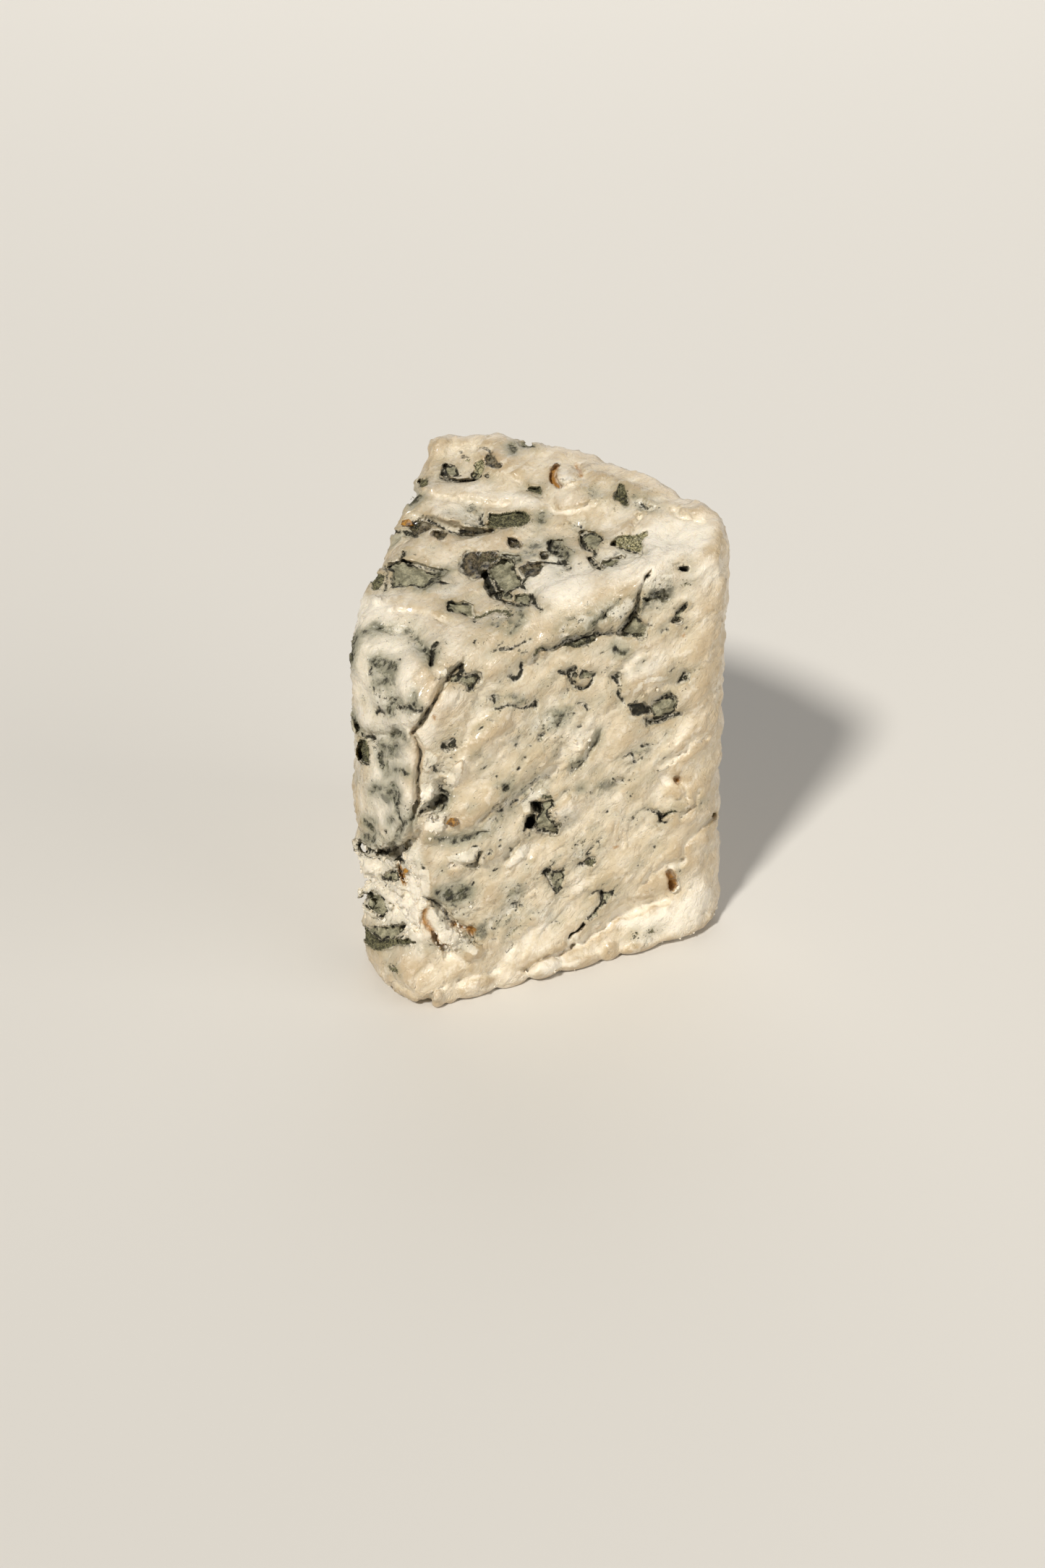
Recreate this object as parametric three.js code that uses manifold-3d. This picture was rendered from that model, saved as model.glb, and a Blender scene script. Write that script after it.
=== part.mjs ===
// A wedge of blue cheese, standing as it stood in the wheel. It is a sector of a round, low wheel
// between two upright cuts, with its thin tip broken off, so that it ends in a narrow upright nose.
// One solid: the paste holds together, and its mould lines the open pockets.
// Units are millimetres. +Z is up, the curved rind faces +Y and the nose faces -Y.
// The part's origin is under the middle of its bounding box, on the flat face that it rests on.

import * as THREE from "three";
import { mergeVertices } from "three/addons/utils/BufferGeometryUtils.js";
import Module from "manifold-3d";

const wasm = await Module();
wasm.setup();

// ---- Driving dimensions. The wheel's axis is X = 0, Y = 0 until the last line moves the solid.
const WHEEL_RADIUS = 101; // a wheel about 200 across
const HALF_ANGLE = THREE.MathUtils.degToRad(25.1); // each cut, from the wedge's middle line
const AXIS_HEIGHT = 74.5; // height that the sloping top would have on the wheel's axis
const TOP_SLOPE = 0.2; // the top rises outwards, to about 95 at the rind
const TIP_RIGHT = 25; // where the nose starts, along the right cut
const TIP_LEFT = 32; // and along the left cut
const TOP_ROUND = { nose: 6.5, rind: 4 }; // how far the top edge is rounded over
const FOOT_ROUND = 3.5; // and the bottom edge
const NOSE_ROUND = 4.5; // the nose's upright corners
const RIND_ROUND = { left: 5, right: 14 }; // the upright corners at the rind
const AXIS = { x: 1.2, y: -61.6 }; // puts the part's origin under the middle of its box

const GRID = { outwards: 22, across: 14, up: 27 }; // faces of the skin's grid
const GRID_CROWDING = 1.25; // over 1 sets the grid closer together near the nose
const SMALL_PEBBLE = 22; // length times width, under which a pocket or flake has fewer faces

// ---- The plain wedge, as a signed distance: below 0 is inside.

const sine = Math.sin(HALF_ANGLE);
const cosine = Math.cos(HALF_ANGLE);
const noseLeft = new THREE.Vector2(-sine, cosine).multiplyScalar(TIP_LEFT);
const noseRight = new THREE.Vector2(sine, cosine).multiplyScalar(TIP_RIGHT);
const noseAcross = noseRight.clone().sub(noseLeft).normalize();
const noseOut = new THREE.Vector2(noseAcross.y, -noseAcross.x);

// Where several surfaces meet, their common edge is rounded by this radius.
function roundedMeeting(distances, radius) {
  const reach = distances.map((d) => Math.max(d + radius, 0));
  return Math.hypot(...reach) - radius + Math.min(Math.max(...distances) + radius, 0);
}

function topHeight(x, y) {
  return AXIS_HEIGHT + TOP_SLOPE * Math.hypot(x, y);
}

// 0 at the nose and 1 at the rind.
function outwardsAt(x, y) {
  return THREE.MathUtils.smoothstep(Math.hypot(x, y), 40, 85);
}

function cornerRound(x, y) {
  const rightwards = THREE.MathUtils.smoothstep(x, -20, 20);
  const atRind = THREE.MathUtils.lerp(RIND_ROUND.left, RIND_ROUND.right, rightwards);
  return THREE.MathUtils.lerp(NOSE_ROUND, atRind, outwardsAt(x, y));
}

function plainWedge({ x, y, z }) {
  const rightCut = x * cosine - y * sine;
  const leftCut = -x * cosine - y * sine;
  const rind = Math.hypot(x, y) - WHEEL_RADIUS;
  const nose = (x - noseLeft.x) * noseOut.x + (y - noseLeft.y) * noseOut.y;
  const wall = roundedMeeting([rightCut, leftCut, rind, nose], cornerRound(x, y));
  const above = (z - topHeight(x, y)) / Math.hypot(1, TOP_SLOPE);
  const topRound = THREE.MathUtils.lerp(TOP_ROUND.nose, TOP_ROUND.rind, outwardsAt(x, y));
  const capped = roundedMeeting([wall, above], topRound);
  return roundedMeeting([capped, -z], FOOT_ROUND);
}

// ---- The faces. Each gives a place on itself from two lengths, and the way out of the solid there.

const UP = new THREE.Vector3(0, 0, 1);

// A cut face, by the distance out from the wheel's axis and the height.
function cutFace(side) {
  return {
    at: (out, up) => new THREE.Vector3(side * sine * out, cosine * out, up),
    normal: () => new THREE.Vector3(side * cosine, -sine, 0),
    along: () => new THREE.Vector3(side * sine, cosine, 0),
  };
}
const rightCut = cutFace(1);
const leftCut = cutFace(-1);

// The nose, by the distance across it from its left corner and the height.
const nose = {
  at: (across, up) =>
    new THREE.Vector3(noseLeft.x + noseAcross.x * across, noseLeft.y + noseAcross.y * across, up),
  normal: () => new THREE.Vector3(noseOut.x, noseOut.y, 0),
  along: () => new THREE.Vector3(noseAcross.x, noseAcross.y, 0),
};

// The top, by the distance right of the middle line and out from the wheel's axis.
const top = {
  at: (right, out) => new THREE.Vector3(right, out, topHeight(right, out)),
  normal: () => new THREE.Vector3(0, -TOP_SLOPE, 1).normalize(),
  along: () => new THREE.Vector3(1, 0, 0),
};

// The rind, by the angle round the wheel in degrees and the height.
const rind = {
  at: (degrees, up) => {
    const angle = THREE.MathUtils.degToRad(degrees);
    return new THREE.Vector3(Math.sin(angle) * WHEEL_RADIUS, Math.cos(angle) * WHEEL_RADIUS, up);
  },
  normal: (point) => new THREE.Vector3(point.x, point.y, 0).normalize(),
  along: (point) => new THREE.Vector3(point.y, -point.x, 0).normalize(),
};

// ---- The skin's broad relief: how far the soft paste stands out or is pressed in.

// Lobes: the face, its middle in that face's two lengths, its half width and half height, and how proud it is.
const LOBES = [
  [nose, 13, 73, 15, 9, 1.6], // the rounded block at the top of the nose
  [nose, 12, 46, 12, 13, 1.2], // the column under it
  [nose, 18, 3, 14, 7, 3.2], // the foot, pressed outwards
  [rightCut, 85, 5, 11, 6, 1.4], // the foot's other end, near the rind
  [rightCut, 75, 70, 8, 6, 0.9],
  [rightCut, 44, 60, 9, 12, 0.8],
  [leftCut, 60, 55, 14, 16, 0.8],
  [top, -8, 93, 26, 9, 3], // the top is fuller at the rind
  [top, 22, 62, 9, 16, 0.8],
];

// Clefts: the face, half the width, the depth, and the places that the cleft runs through.
const CLEFTS = [
  [rightCut, 1.9, 3.4, [[23, 67], [27, 71.5], [30.5, 76], [35, 81]]], // the nose's block splits off here
  [rightCut, 1.9, 2.8, [[25.8, 66], [26.4, 60], [25.8, 53], [25, 46]]], // and here its column does
  [nose, 1.7, 1.8, [[23.5, 43], [19.5, 38], [14, 34], [7, 31], [1, 30]]],
  [nose, 1.7, 1.5, [[0, 58.5], [6, 57.5], [15, 62], [25, 69]]],
  [rightCut, 1.5, 1.8, [[66.5, 8], [69, 10.2], [75, 11.6], [82, 11.8]]], // a fold above the foot
  [rightCut, 1.5, 1.6, [[77.5, 18], [80, 20], [84, 21], [87, 25], [91, 30]]],
  [rightCut, 1.5, 1.2, [[40, 45.3], [47, 48.3], [55, 51]]],
  [rightCut, 1.5, 1.4, [[58.5, 48.5], [63, 52], [65.8, 58]]],
  [rightCut, 1.6, 1.4, [[55, 78.5], [60, 80.3], [66, 80], [71, 80], [74, 86], [76, 90]]],
];

const WAVE = { height: 0.45, length: 13 }; // the smeared, slanting waves of the cuts

const lobes = LOBES.map(([face, across, up, halfWidth, halfHeight, proud]) => {
  const middle = face.at(across, up);
  return { middle, along: face.along(middle), normal: face.normal(middle), halfWidth, halfHeight, proud };
});
const clefts = CLEFTS.map(([face, halfWidth, depth, places]) => ({
  halfWidth,
  depth,
  points: places.map(([across, up]) => face.at(across, up)),
}));

function lobeAt(lobe, point) {
  const offset = point.clone().sub(lobe.middle);
  const across = offset.dot(lobe.along) / lobe.halfWidth;
  const out = offset.dot(lobe.normal);
  const up = Math.sqrt(Math.max(offset.lengthSq() - out ** 2 - offset.dot(lobe.along) ** 2, 0)) / lobe.halfHeight;
  const nearby = Math.exp(-((out / 8) ** 2));
  return lobe.proud * Math.exp(-((across ** 2 + up ** 2) ** 1.5)) * nearby;
}

const segment = new THREE.Line3();
const nearest = new THREE.Vector3();
function cleftAt(cleft, point) {
  let distance = Infinity;
  for (let i = 1; i < cleft.points.length; i++) {
    segment.set(cleft.points[i - 1], cleft.points[i]).closestPointToPoint(point, true, nearest);
    distance = Math.min(distance, nearest.distanceTo(point) - 0.6 * cleft.depth);
  }
  return cleft.depth * Math.exp(-((Math.max(distance, 0) / cleft.halfWidth) ** 2));
}

function waveAt({ x, y, z }) {
  const k = (2 * Math.PI) / WAVE.length;
  const slanting = Math.sin(k * (z - 0.7 * y + 0.35 * x) + 1.4 * Math.sin(0.11 * z + 0.16 * x));
  const lumpy = Math.sin(0.33 * x + 0.21 * z + 1) * Math.sin(0.29 * y - 0.25 * z);
  const onCuts = 1 - 0.6 * THREE.MathUtils.smoothstep(Math.hypot(x, y), 84, 98);
  return WAVE.height * (slanting * onCuts + lumpy) * THREE.MathUtils.smoothstep(z, 2, 9);
}

function skin(point) {
  let distance = plainWedge(point) - waveAt(point);
  const footHold = THREE.MathUtils.smoothstep(point.z, 0.2, 3); // the face that it rests on stays flat
  for (const lobe of lobes) distance -= lobeAt(lobe, point) * footHold;
  for (const cleft of clefts) distance += cleftAt(cleft, point) * footHold;
  return distance;
}

// Where the line from an inner to an outer point leaves the solid.
function leavesSkin(inner, outer) {
  let low = 0;
  let high = 1;
  const point = new THREE.Vector3();
  for (let i = 0; i < 26; i++) {
    const middle = (low + high) / 2;
    if (skin(point.lerpVectors(inner, outer, middle)) < 0) low = middle;
    else high = middle;
  }
  return point.lerpVectors(inner, outer, low);
}

// ---- Solids.

function solidOf(geometry) {
  geometry.deleteAttribute("normal");
  geometry.deleteAttribute("uv");
  const merged = mergeVertices(geometry, 1e-4);
  return new wasm.Manifold(
    new wasm.Mesh({
      numProp: 3,
      vertProperties: new Float32Array(merged.attributes.position.array),
      triVerts: new Uint32Array(merged.index.array),
    }),
  );
}

// A box's grid, laid over the plain wedge and pulled onto the skin from the middle of the solid.
function wedgeGeometry() {
  const geometry = new THREE.BoxGeometry(1, 1, 1, GRID.across, GRID.outwards, GRID.up);
  const core = new THREE.Vector3(0, 66, 44);
  const reach = 1.35; // starts outside the skin everywhere
  const position = geometry.attributes.position;
  const point = new THREE.Vector3();
  for (let i = 0; i < position.count; i++) {
    const across = position.getX(i) + 0.5;
    const outwards = (position.getY(i) + 0.5) ** GRID_CROWDING;
    const up = position.getZ(i) + 0.5;
    const angle = THREE.MathUtils.lerp(-HALF_ANGLE, HALF_ANGLE, across);
    const atNose = new THREE.Vector2().lerpVectors(noseLeft, noseRight, across);
    const atRind = new THREE.Vector2(Math.sin(angle), Math.cos(angle)).multiplyScalar(WHEEL_RADIUS);
    const plan = atNose.lerp(atRind, outwards);
    point.set(plan.x, plan.y, up * topHeight(plan.x, plan.y));
    const outer = point.sub(core).multiplyScalar(reach).add(core);
    const onSkin = leavesSkin(core, outer);
    if (onSkin.z < 1e-3) onSkin.z = 0;
    position.setXYZ(i, onSkin.x, onSkin.y, onSkin.z);
  }
  return geometry;
}

let seed = 20;
function random(low, high) {
  seed = (seed * 1664525 + 1013904223) % 4294967296;
  return low + ((high - low) * seed) / 4294967296;
}

// An uneven pebble lying on a face: it is cut away as a pocket, or fused on as a flake or lump.
// Its middle is on the skin, or lifted off it; turn is in degrees from the face's own direction.
function pebble(face, [across, up, length, width, turn, depth], lift = 0) {
  const place = face.at(across, up);
  const normal = face.normal(place);
  const middle = leavesSkin(place.clone().addScaledVector(normal, -9), place.clone().addScaledVector(normal, 9));
  middle.addScaledVector(normal, lift);
  const small = length * width < SMALL_PEBBLE;
  const geometry = small ? new THREE.OctahedronGeometry(1, 1) : new THREE.IcosahedronGeometry(1, 1);
  const position = geometry.attributes.position;
  const phase = random(0, 6);
  for (let i = 0; i < position.count; i++) {
    const [x, y, z] = [position.getX(i), position.getY(i), position.getZ(i)];
    const uneven = 1 + 0.14 * Math.sin(3 * x + 4 * y + phase) * Math.cos(3 * z - 2 * y + phase);
    position.setXYZ(i, x * uneven, y * uneven, z * (2 - uneven));
  }
  const along = face.along(place).applyAxisAngle(normal, THREE.MathUtils.degToRad(turn));
  const frame = new THREE.Matrix4().makeBasis(along, new THREE.Vector3().crossVectors(normal, along), normal);
  geometry.scale(length / 2, width / 2, depth).applyMatrix4(frame).translate(middle.x, middle.y, middle.z);
  return solidOf(geometry);
}

// Pockets, as across, up, length, width, turn and depth.
const RIGHT_POCKETS = [
  [50, 41, 7, 3.4, 62, 6], // the deep hole in the middle
  [53.6, 40, 8, 4.4, -52, 2.6], // and its open side
  [80.2, 59.4, 9.5, 4.8, 6, 3.2],
  [75.2, 60.3, 6.5, 3.4, -28, 2.8],
  [73.3, 80.4, 7, 4.4, 62, 3],
  [61.6, 79.7, 9.5, 2.2, 8, 2.8],
  [61.2, 71, 5.6, 4, 0, 2.6],
  [36.6, 76.8, 6, 2.6, -38, 2],
  [84, 80.4, 4.6, 1.9, 42, 2.2],
  [32, 62.2, 4.2, 2.2, 12, 2],
  [54.6, 24.8, 6, 3, -58, 1.8],
  [66, 15.2, 7.5, 2.2, 62, 2.6],
  [62, 11, 5, 1.7, 32, 3],
  [83.2, 15.8, 4.6, 2, 80, 5],
  [84.3, 90.2, 3, 1.8, -8, 4.5],
  [85.4, 65.4, 3.6, 2, 30, 1.8],
  [69.4, 68.6, 4, 1.8, 84, 2],
  [76.8, 85.5, 5.6, 1.8, 6, 2],
  [81.6, 33.5, 6.4, 1.9, -6, 1.8],
  [63.8, 26.2, 4.6, 2.2, 16, 1.6],
  [32.3, 21.3, 15, 1.7, -51, 3], // two cracks where flakes lift
  [27.6, 19.6, 9.5, 1.7, -62, 2.6],
  [29.2, 51.5, 7, 2.6, 58, 2.8],
];
const TOP_POCKETS = [
  [-12.6, 48.6, 14, 7.5, 8, 3],
  [-3.5, 59, 10, 8, 28, 3.6],
  [4.8, 57, 10, 6, 42, 3],
  [-8, 74, 9, 5.6, 24, 3],
  [4.2, 45.2, 8, 3, -6, 2.2],
  [12.5, 48.5, 8, 3.4, -32, 2.2],
  [-28, 80.5, 8.5, 2.8, -12, 2.2],
  [-25.5, 88.5, 5, 4, 20, 1.6],
  [-6.4, 90, 7, 4.4, -12, 2.2],
  [11.8, 75.6, 7.5, 3.2, -36, 2],
  [21, 78, 6, 4, -30, 1.8],
  [8.2, 92.6, 5.4, 2.6, -52, 1.8],
  [-20.5, 62, 12, 2.8, 8, 2.4],
  [9.6, 69.8, 9, 2.6, -34, 2.2],
  [20, 69.4, 5.4, 3, 30, 2],
];
const NOSE_POCKETS = [
  [9, 18.3, 6.5, 4, 8, 2.2],
  [11.5, 10.2, 13, 3.4, 20, 2.2],
  [13.6, 27.6, 6, 2.2, 26, 1.8],
  [5.4, 53.6, 5, 3.6, 70, 1.8],
];
const LOOSE_FLAKES = [
  [rightCut, [27.2, 53.6, 6.5, 3.2, 74, 1.5]],
  [rightCut, [32.6, 55.6, 6.5, 2.8, 62, 1.5]],
  [rightCut, [33.4, 43.8, 3.6, 2, -36, 1.5]], // a dry amber crystal
  [rightCut, [36, 34.6, 5.5, 3, 12, 1.2]],
  [rightCut, [47.5, 32.6, 7.5, 3, 36, 1.2]],
  [rightCut, [82.6, 19.9, 2.8, 1.8, 0, 1.6]],
  [top, [-6.4, 89.6, 4, 2.8, 0, 1.5]],
];

// The hidden cut and the rind have a few of the same pockets, spread by a rule.
function spreadPockets(face, acrossRange, upRange, count) {
  return Array.from({ length: count }, (_, i) => {
    const across = THREE.MathUtils.lerp(...acrossRange, ((i + 0.5) / count + random(-0.03, 0.03)) % 1);
    const up = THREE.MathUtils.lerp(...upRange, (i * 0.618 + random(0, 0.1)) % 1);
    return [face, [across, up, random(4, 8), random(2, 4), random(-60, 60), random(1.6, 2.8)]];
  });
}

// The foot is pressed into a row of soft, uneven lumps, along the foot of a face.
function footLumps(face, from, to) {
  const lumps = [];
  for (let across = from; across < to; ) {
    const length = random(5, 11);
    const height = random(1.3, 2.4);
    lumps.push([face, [across + length / 2, height + 0.6, length * 1.2, 2 * height, 0, height], -0.6]);
    across += length;
  }
  return lumps;
}

let cheese = solidOf(wedgeGeometry());
const lumps = [
  ...LOOSE_FLAKES,
  ...footLumps(rightCut, 27, 74),
  ...footLumps(leftCut, 40, 88),
];
for (const [face, sizes, lift] of lumps) cheese = cheese.add(pebble(face, sizes, lift));
const pockets = [
  ...RIGHT_POCKETS.map((sizes) => [rightCut, sizes]),
  ...TOP_POCKETS.map((sizes) => [top, sizes]),
  ...NOSE_POCKETS.map((sizes) => [nose, sizes]),
  ...spreadPockets(leftCut, [36, 88], [12, 76], 11),
  ...spreadPockets(rind, [-20, 20], [12, 82], 3),
];
for (const [face, sizes] of pockets) cheese = cheese.subtract(pebble(face, sizes));

const { vertProperties, triVerts } = cheese.getMesh();
const geometry = new THREE.BufferGeometry();
geometry.setAttribute("position", new THREE.BufferAttribute(vertProperties, 3));
geometry.setIndex(new THREE.BufferAttribute(triVerts, 1));
geometry.computeVertexNormals();

const ivoryPaste = new THREE.MeshStandardMaterial({ color: "#eadfc6", roughness: 0.5, metalness: 0 });
const mesh = new THREE.Mesh(geometry, ivoryPaste);
mesh.name = "cheese";
mesh.position.set(AXIS.x, AXIS.y, 0);

const wedge = new THREE.Group();
wedge.add(mesh);
export default wedge;
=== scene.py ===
# A wedge of crumbly blue cheese, cut from a low wheel and standing as it stood in the wheel.
# Its paste is ivory and moist, and its mould lines the open pockets. Lengths are in millimetres
# until a mesh or a lamp is made.

import math

import bmesh
import bpy
import numpy as np
import openvdb
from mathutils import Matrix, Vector


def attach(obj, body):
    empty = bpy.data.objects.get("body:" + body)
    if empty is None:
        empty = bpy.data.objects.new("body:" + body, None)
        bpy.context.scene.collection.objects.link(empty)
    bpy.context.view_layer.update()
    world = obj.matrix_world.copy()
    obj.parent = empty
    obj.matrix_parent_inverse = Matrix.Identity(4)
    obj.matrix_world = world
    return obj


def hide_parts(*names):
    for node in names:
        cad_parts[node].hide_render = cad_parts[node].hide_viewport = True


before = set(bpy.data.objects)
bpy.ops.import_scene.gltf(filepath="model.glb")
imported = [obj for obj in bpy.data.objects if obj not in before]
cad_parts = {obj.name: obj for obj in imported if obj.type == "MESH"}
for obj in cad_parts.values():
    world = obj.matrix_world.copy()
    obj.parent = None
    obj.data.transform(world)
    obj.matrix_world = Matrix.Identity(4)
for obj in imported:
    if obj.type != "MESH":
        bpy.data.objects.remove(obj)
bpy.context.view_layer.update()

# The camera: a short telephoto lens, looking down on the wedge's nose and its right cut.

PICTURE_HEIGHT, FOCAL_LENGTH = 2168, 4027  # both in pixels
SENSOR = 36
CAMERA_PLACE = (0.3445, -0.4181, 0.3460)  # in metres
CAMERA_WAY = (-0.5438, 0.6740, -0.5)

lens = bpy.data.cameras.new("camera")
lens.sensor_width = SENSOR
lens.lens = SENSOR * FOCAL_LENGTH / PICTURE_HEIGHT
lens.clip_end = 100
camera = bpy.data.objects.new("camera", lens)
camera.location = CAMERA_PLACE
camera.rotation_euler = Vector(CAMERA_WAY).to_track_quat("-Z", "Y").to_euler()
bpy.context.collection.objects.link(camera)
bpy.context.scene.camera = camera

# The paste: one block of soft, crumbly curd between two upright cuts, a rind and a broken nose.
# Its solid form is a distance field on a grid, below 0 inside, which every lobe, cleft, pocket
# and flake is worked into before it's turned into a mesh.

WHEEL_RADIUS = 101
HALF_ANGLE = math.radians(25.1)
AXIS = np.array([1.2, -61.6, 0])  # the wheel's axis, from the part's origin
AXIS_HEIGHT, TOP_SLOPE = 74.5, 0.2  # the top's height at the axis, and its rise towards the rind
TIP_RIGHT, TIP_LEFT = 25, 32  # how much of the tip is missing, along each cut
FOOT_ROUND, CREST_ROUND, RIND_CREST_ROUND = 3.5, 6.5, 4
NOSE_ROUND, FRONT_FOOT_ROUND = 4.5, 9.5  # the nose's upright corners, and the same at the foot
RIND_ROUND_LEFT, RIND_ROUND_RIGHT = 5, 14
WAVE_HEIGHT, WAVE_LENGTH = 0.4, 13  # the slanting waves that the knife left
STEP = 0.38  # the grid's spacing
TO_METRES, TO_MILLIMETRES = 0.001, 1000

SINE, COSINE = math.sin(HALF_ANGLE), math.cos(HALF_ANGLE)
nose_left = np.array([-SINE, COSINE]) * TIP_LEFT
nose_right = np.array([SINE, COSINE]) * TIP_RIGHT
nose_along = (nose_right - nose_left) / np.linalg.norm(nose_right - nose_left)


def top_height(x, y):
    return AXIS_HEIGHT + TOP_SLOPE * np.hypot(x, y)


def fade(value, low, high):
    """0 at low and 1 at high, with a smooth start and end."""
    t = np.clip((value - low) / (high - low), 0, 1)
    return t * t * (3 - 2 * t)


def falling(value, width, power=2):
    """1 where a value is 0, and falling away on both sides within about a width."""
    return np.exp(-((value / width) ** power))


def rounded_meeting(distances, radius):
    """Where several surfaces meet, with their common edge rounded."""
    total = sum(np.maximum(d + radius, 0) ** 2 for d in distances)
    deepest = distances[0]
    for d in distances[1:]:
        deepest = np.maximum(deepest, d)
    return np.sqrt(total) - radius + np.minimum(deepest + radius, 0)


CELLS = 64  # after this many cells, a power of two, the noise comes again


def noise(x, y, z, size, seed):
    """Soft lumps from about -1 to 1, each about size across."""
    table = np.random.default_rng(seed).uniform(-1.5, 1.5, (CELLS, CELLS, CELLS)).astype(np.float32)
    cells = [np.asarray(c, np.float32) / size + 10 * CELLS for c in (x, y, z)]
    whole = [np.floor(c).astype(np.int32) for c in cells]
    part = [c - w for c, w in zip(cells, whole)]
    part = [p * p * (3 - 2 * p) for p in part]
    total = 0
    for corner in np.ndindex(2, 2, 2):
        weight = 1
        for p, c in zip(part, corner):
            weight = weight * (p if c else 1 - p)
        total = total + weight * table[tuple((w + c) & (CELLS - 1) for w, c in zip(whole, corner))]
    return total


INWARDS = np.array(CAMERA_WAY)  # the way that marks on the right cut, the nose and the top go in


class Face:
    """A face of the wedge, measured by two lengths from its corner: along it and up its rise."""

    def __init__(self, corner, along, rise, through, curve=None):
        self.corner, self.along, self.rise = (np.array(v, float) for v in (corner, along, rise))
        self.rows = np.linalg.inv(np.array([along, rise, through], float).T)[:2]
        self.curve = curve

    def at(self, across, up):
        """The place on the face at these two lengths."""
        place = self.corner + across * self.along + up * self.rise
        return self.curve(place) if self.curve else place

    def measure(self, x, y, z):
        """The two lengths of the place where a mark that reaches x, y, z goes in."""
        x, y, z = x - self.corner[0], y - self.corner[1], z - self.corner[2]
        return tuple(row[0] * x + row[1] * y + row[2] * z for row in self.rows)


class Top(Face):
    """The sloping top, measured right of the middle and out from the wheel's axis."""

    def measure(self, x, y, z):
        rise = TOP_SLOPE * (x * INWARDS[0] + y * INWARDS[1]) / np.hypot(x, y)
        far = (z - top_height(x, y)) / (rise - INWARDS[2])
        return x + far * INWARDS[0], y + far * INWARDS[1]


def on_top(place):
    return np.array([place[0], place[1], top_height(place[0], place[1])])


def on_rind(place):
    return np.array([place[0], math.sqrt(WHEEL_RADIUS**2 - place[0] ** 2), place[2]])


# The cuts are measured out from the wheel's axis, the nose from its left corner, and the rind right of
# its middle; then all four by the height.
RIGHT = Face((0, 0, 0), (SINE, COSINE, 0), (0, 0, 1), INWARDS)
NOSE = Face((*nose_left, 0), (*nose_along, 0), (0, 0, 1), INWARDS)
TOP = Top((0, 0, 0), (1, 0, 0), (0, 1, 0), (0, 0, 1), on_top)
LEFT = Face((0, 0, 0), (-SINE, COSINE, 0), (0, 0, 1), (COSINE, SINE, 0))
RIND = Face((0, 0, 0), (1, 0, 0), (0, 0, 1), (0, 1, 0), on_rind)

low_corner = np.array([-44.0, 19.0, -1.6])
high_corner = np.array([42.0, 105.0, 99.0])
grid_axes = [np.arange(a, b, STEP, dtype=np.float32) for a, b in zip(low_corner, high_corner)]

x, y = grid_axes[0][:, None, None], grid_axes[1][None, :, None]
z = grid_axes[2][None, None, :]
radius = np.hypot(x, y)
outwards = fade(radius, 40, 85)
rind_round = RIND_ROUND_LEFT + (RIND_ROUND_RIGHT - RIND_ROUND_LEFT) * fade(x, -20, 20)
nose_distance = (x - nose_left[0]) * nose_along[1] - (y - nose_left[1]) * nose_along[0]
wall = rounded_meeting(
    [x * COSINE - y * SINE, -x * COSINE - y * SINE, radius - WHEEL_RADIUS, nose_distance],
    NOSE_ROUND + (rind_round - NOSE_ROUND) * outwards
    + (FRONT_FOOT_ROUND - NOSE_ROUND) * (1 - outwards) * (1 - fade(z, 0, 10)),
)
above = (z - top_height(x, y)) / math.hypot(1, TOP_SLOPE)
crest_round = CREST_ROUND - (CREST_ROUND - RIND_CREST_ROUND) * outwards
skin = rounded_meeting([rounded_meeting([wall, above], crest_round), -z], FOOT_ROUND)
slant = 2 * math.pi / WAVE_LENGTH * (z - 0.7 * y + 0.35 * x) + 1.4 * np.sin(0.11 * z + 0.16 * x)
lumpy = np.sin(0.33 * x + 0.21 * z + 1) * np.sin(0.29 * y - 0.25 * z)
wave = WAVE_HEIGHT * (np.sin(slant) * (1 - 0.8 * fade(radius, 82, 96)) + lumpy)
skin = (skin - wave * fade(z, 2, 9)).astype(np.float32)


def window(places, reach):
    """The part of the grid around some places, and its coordinates."""
    places = np.array(places)
    first = ((places.min(0) - reach - low_corner) / STEP).astype(int).clip(0)
    last = ((places.max(0) + reach - low_corner) / STEP).astype(int) + 2
    part = tuple(slice(a, b) for a, b in zip(first, last))
    return part, np.meshgrid(*(axis[s] for axis, s in zip(grid_axes, part)), indexing="ij")


def hold_foot(z):
    """0 on the face that it rests on, which stays flat."""
    return fade(z, 0.1, 1.8)


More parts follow.
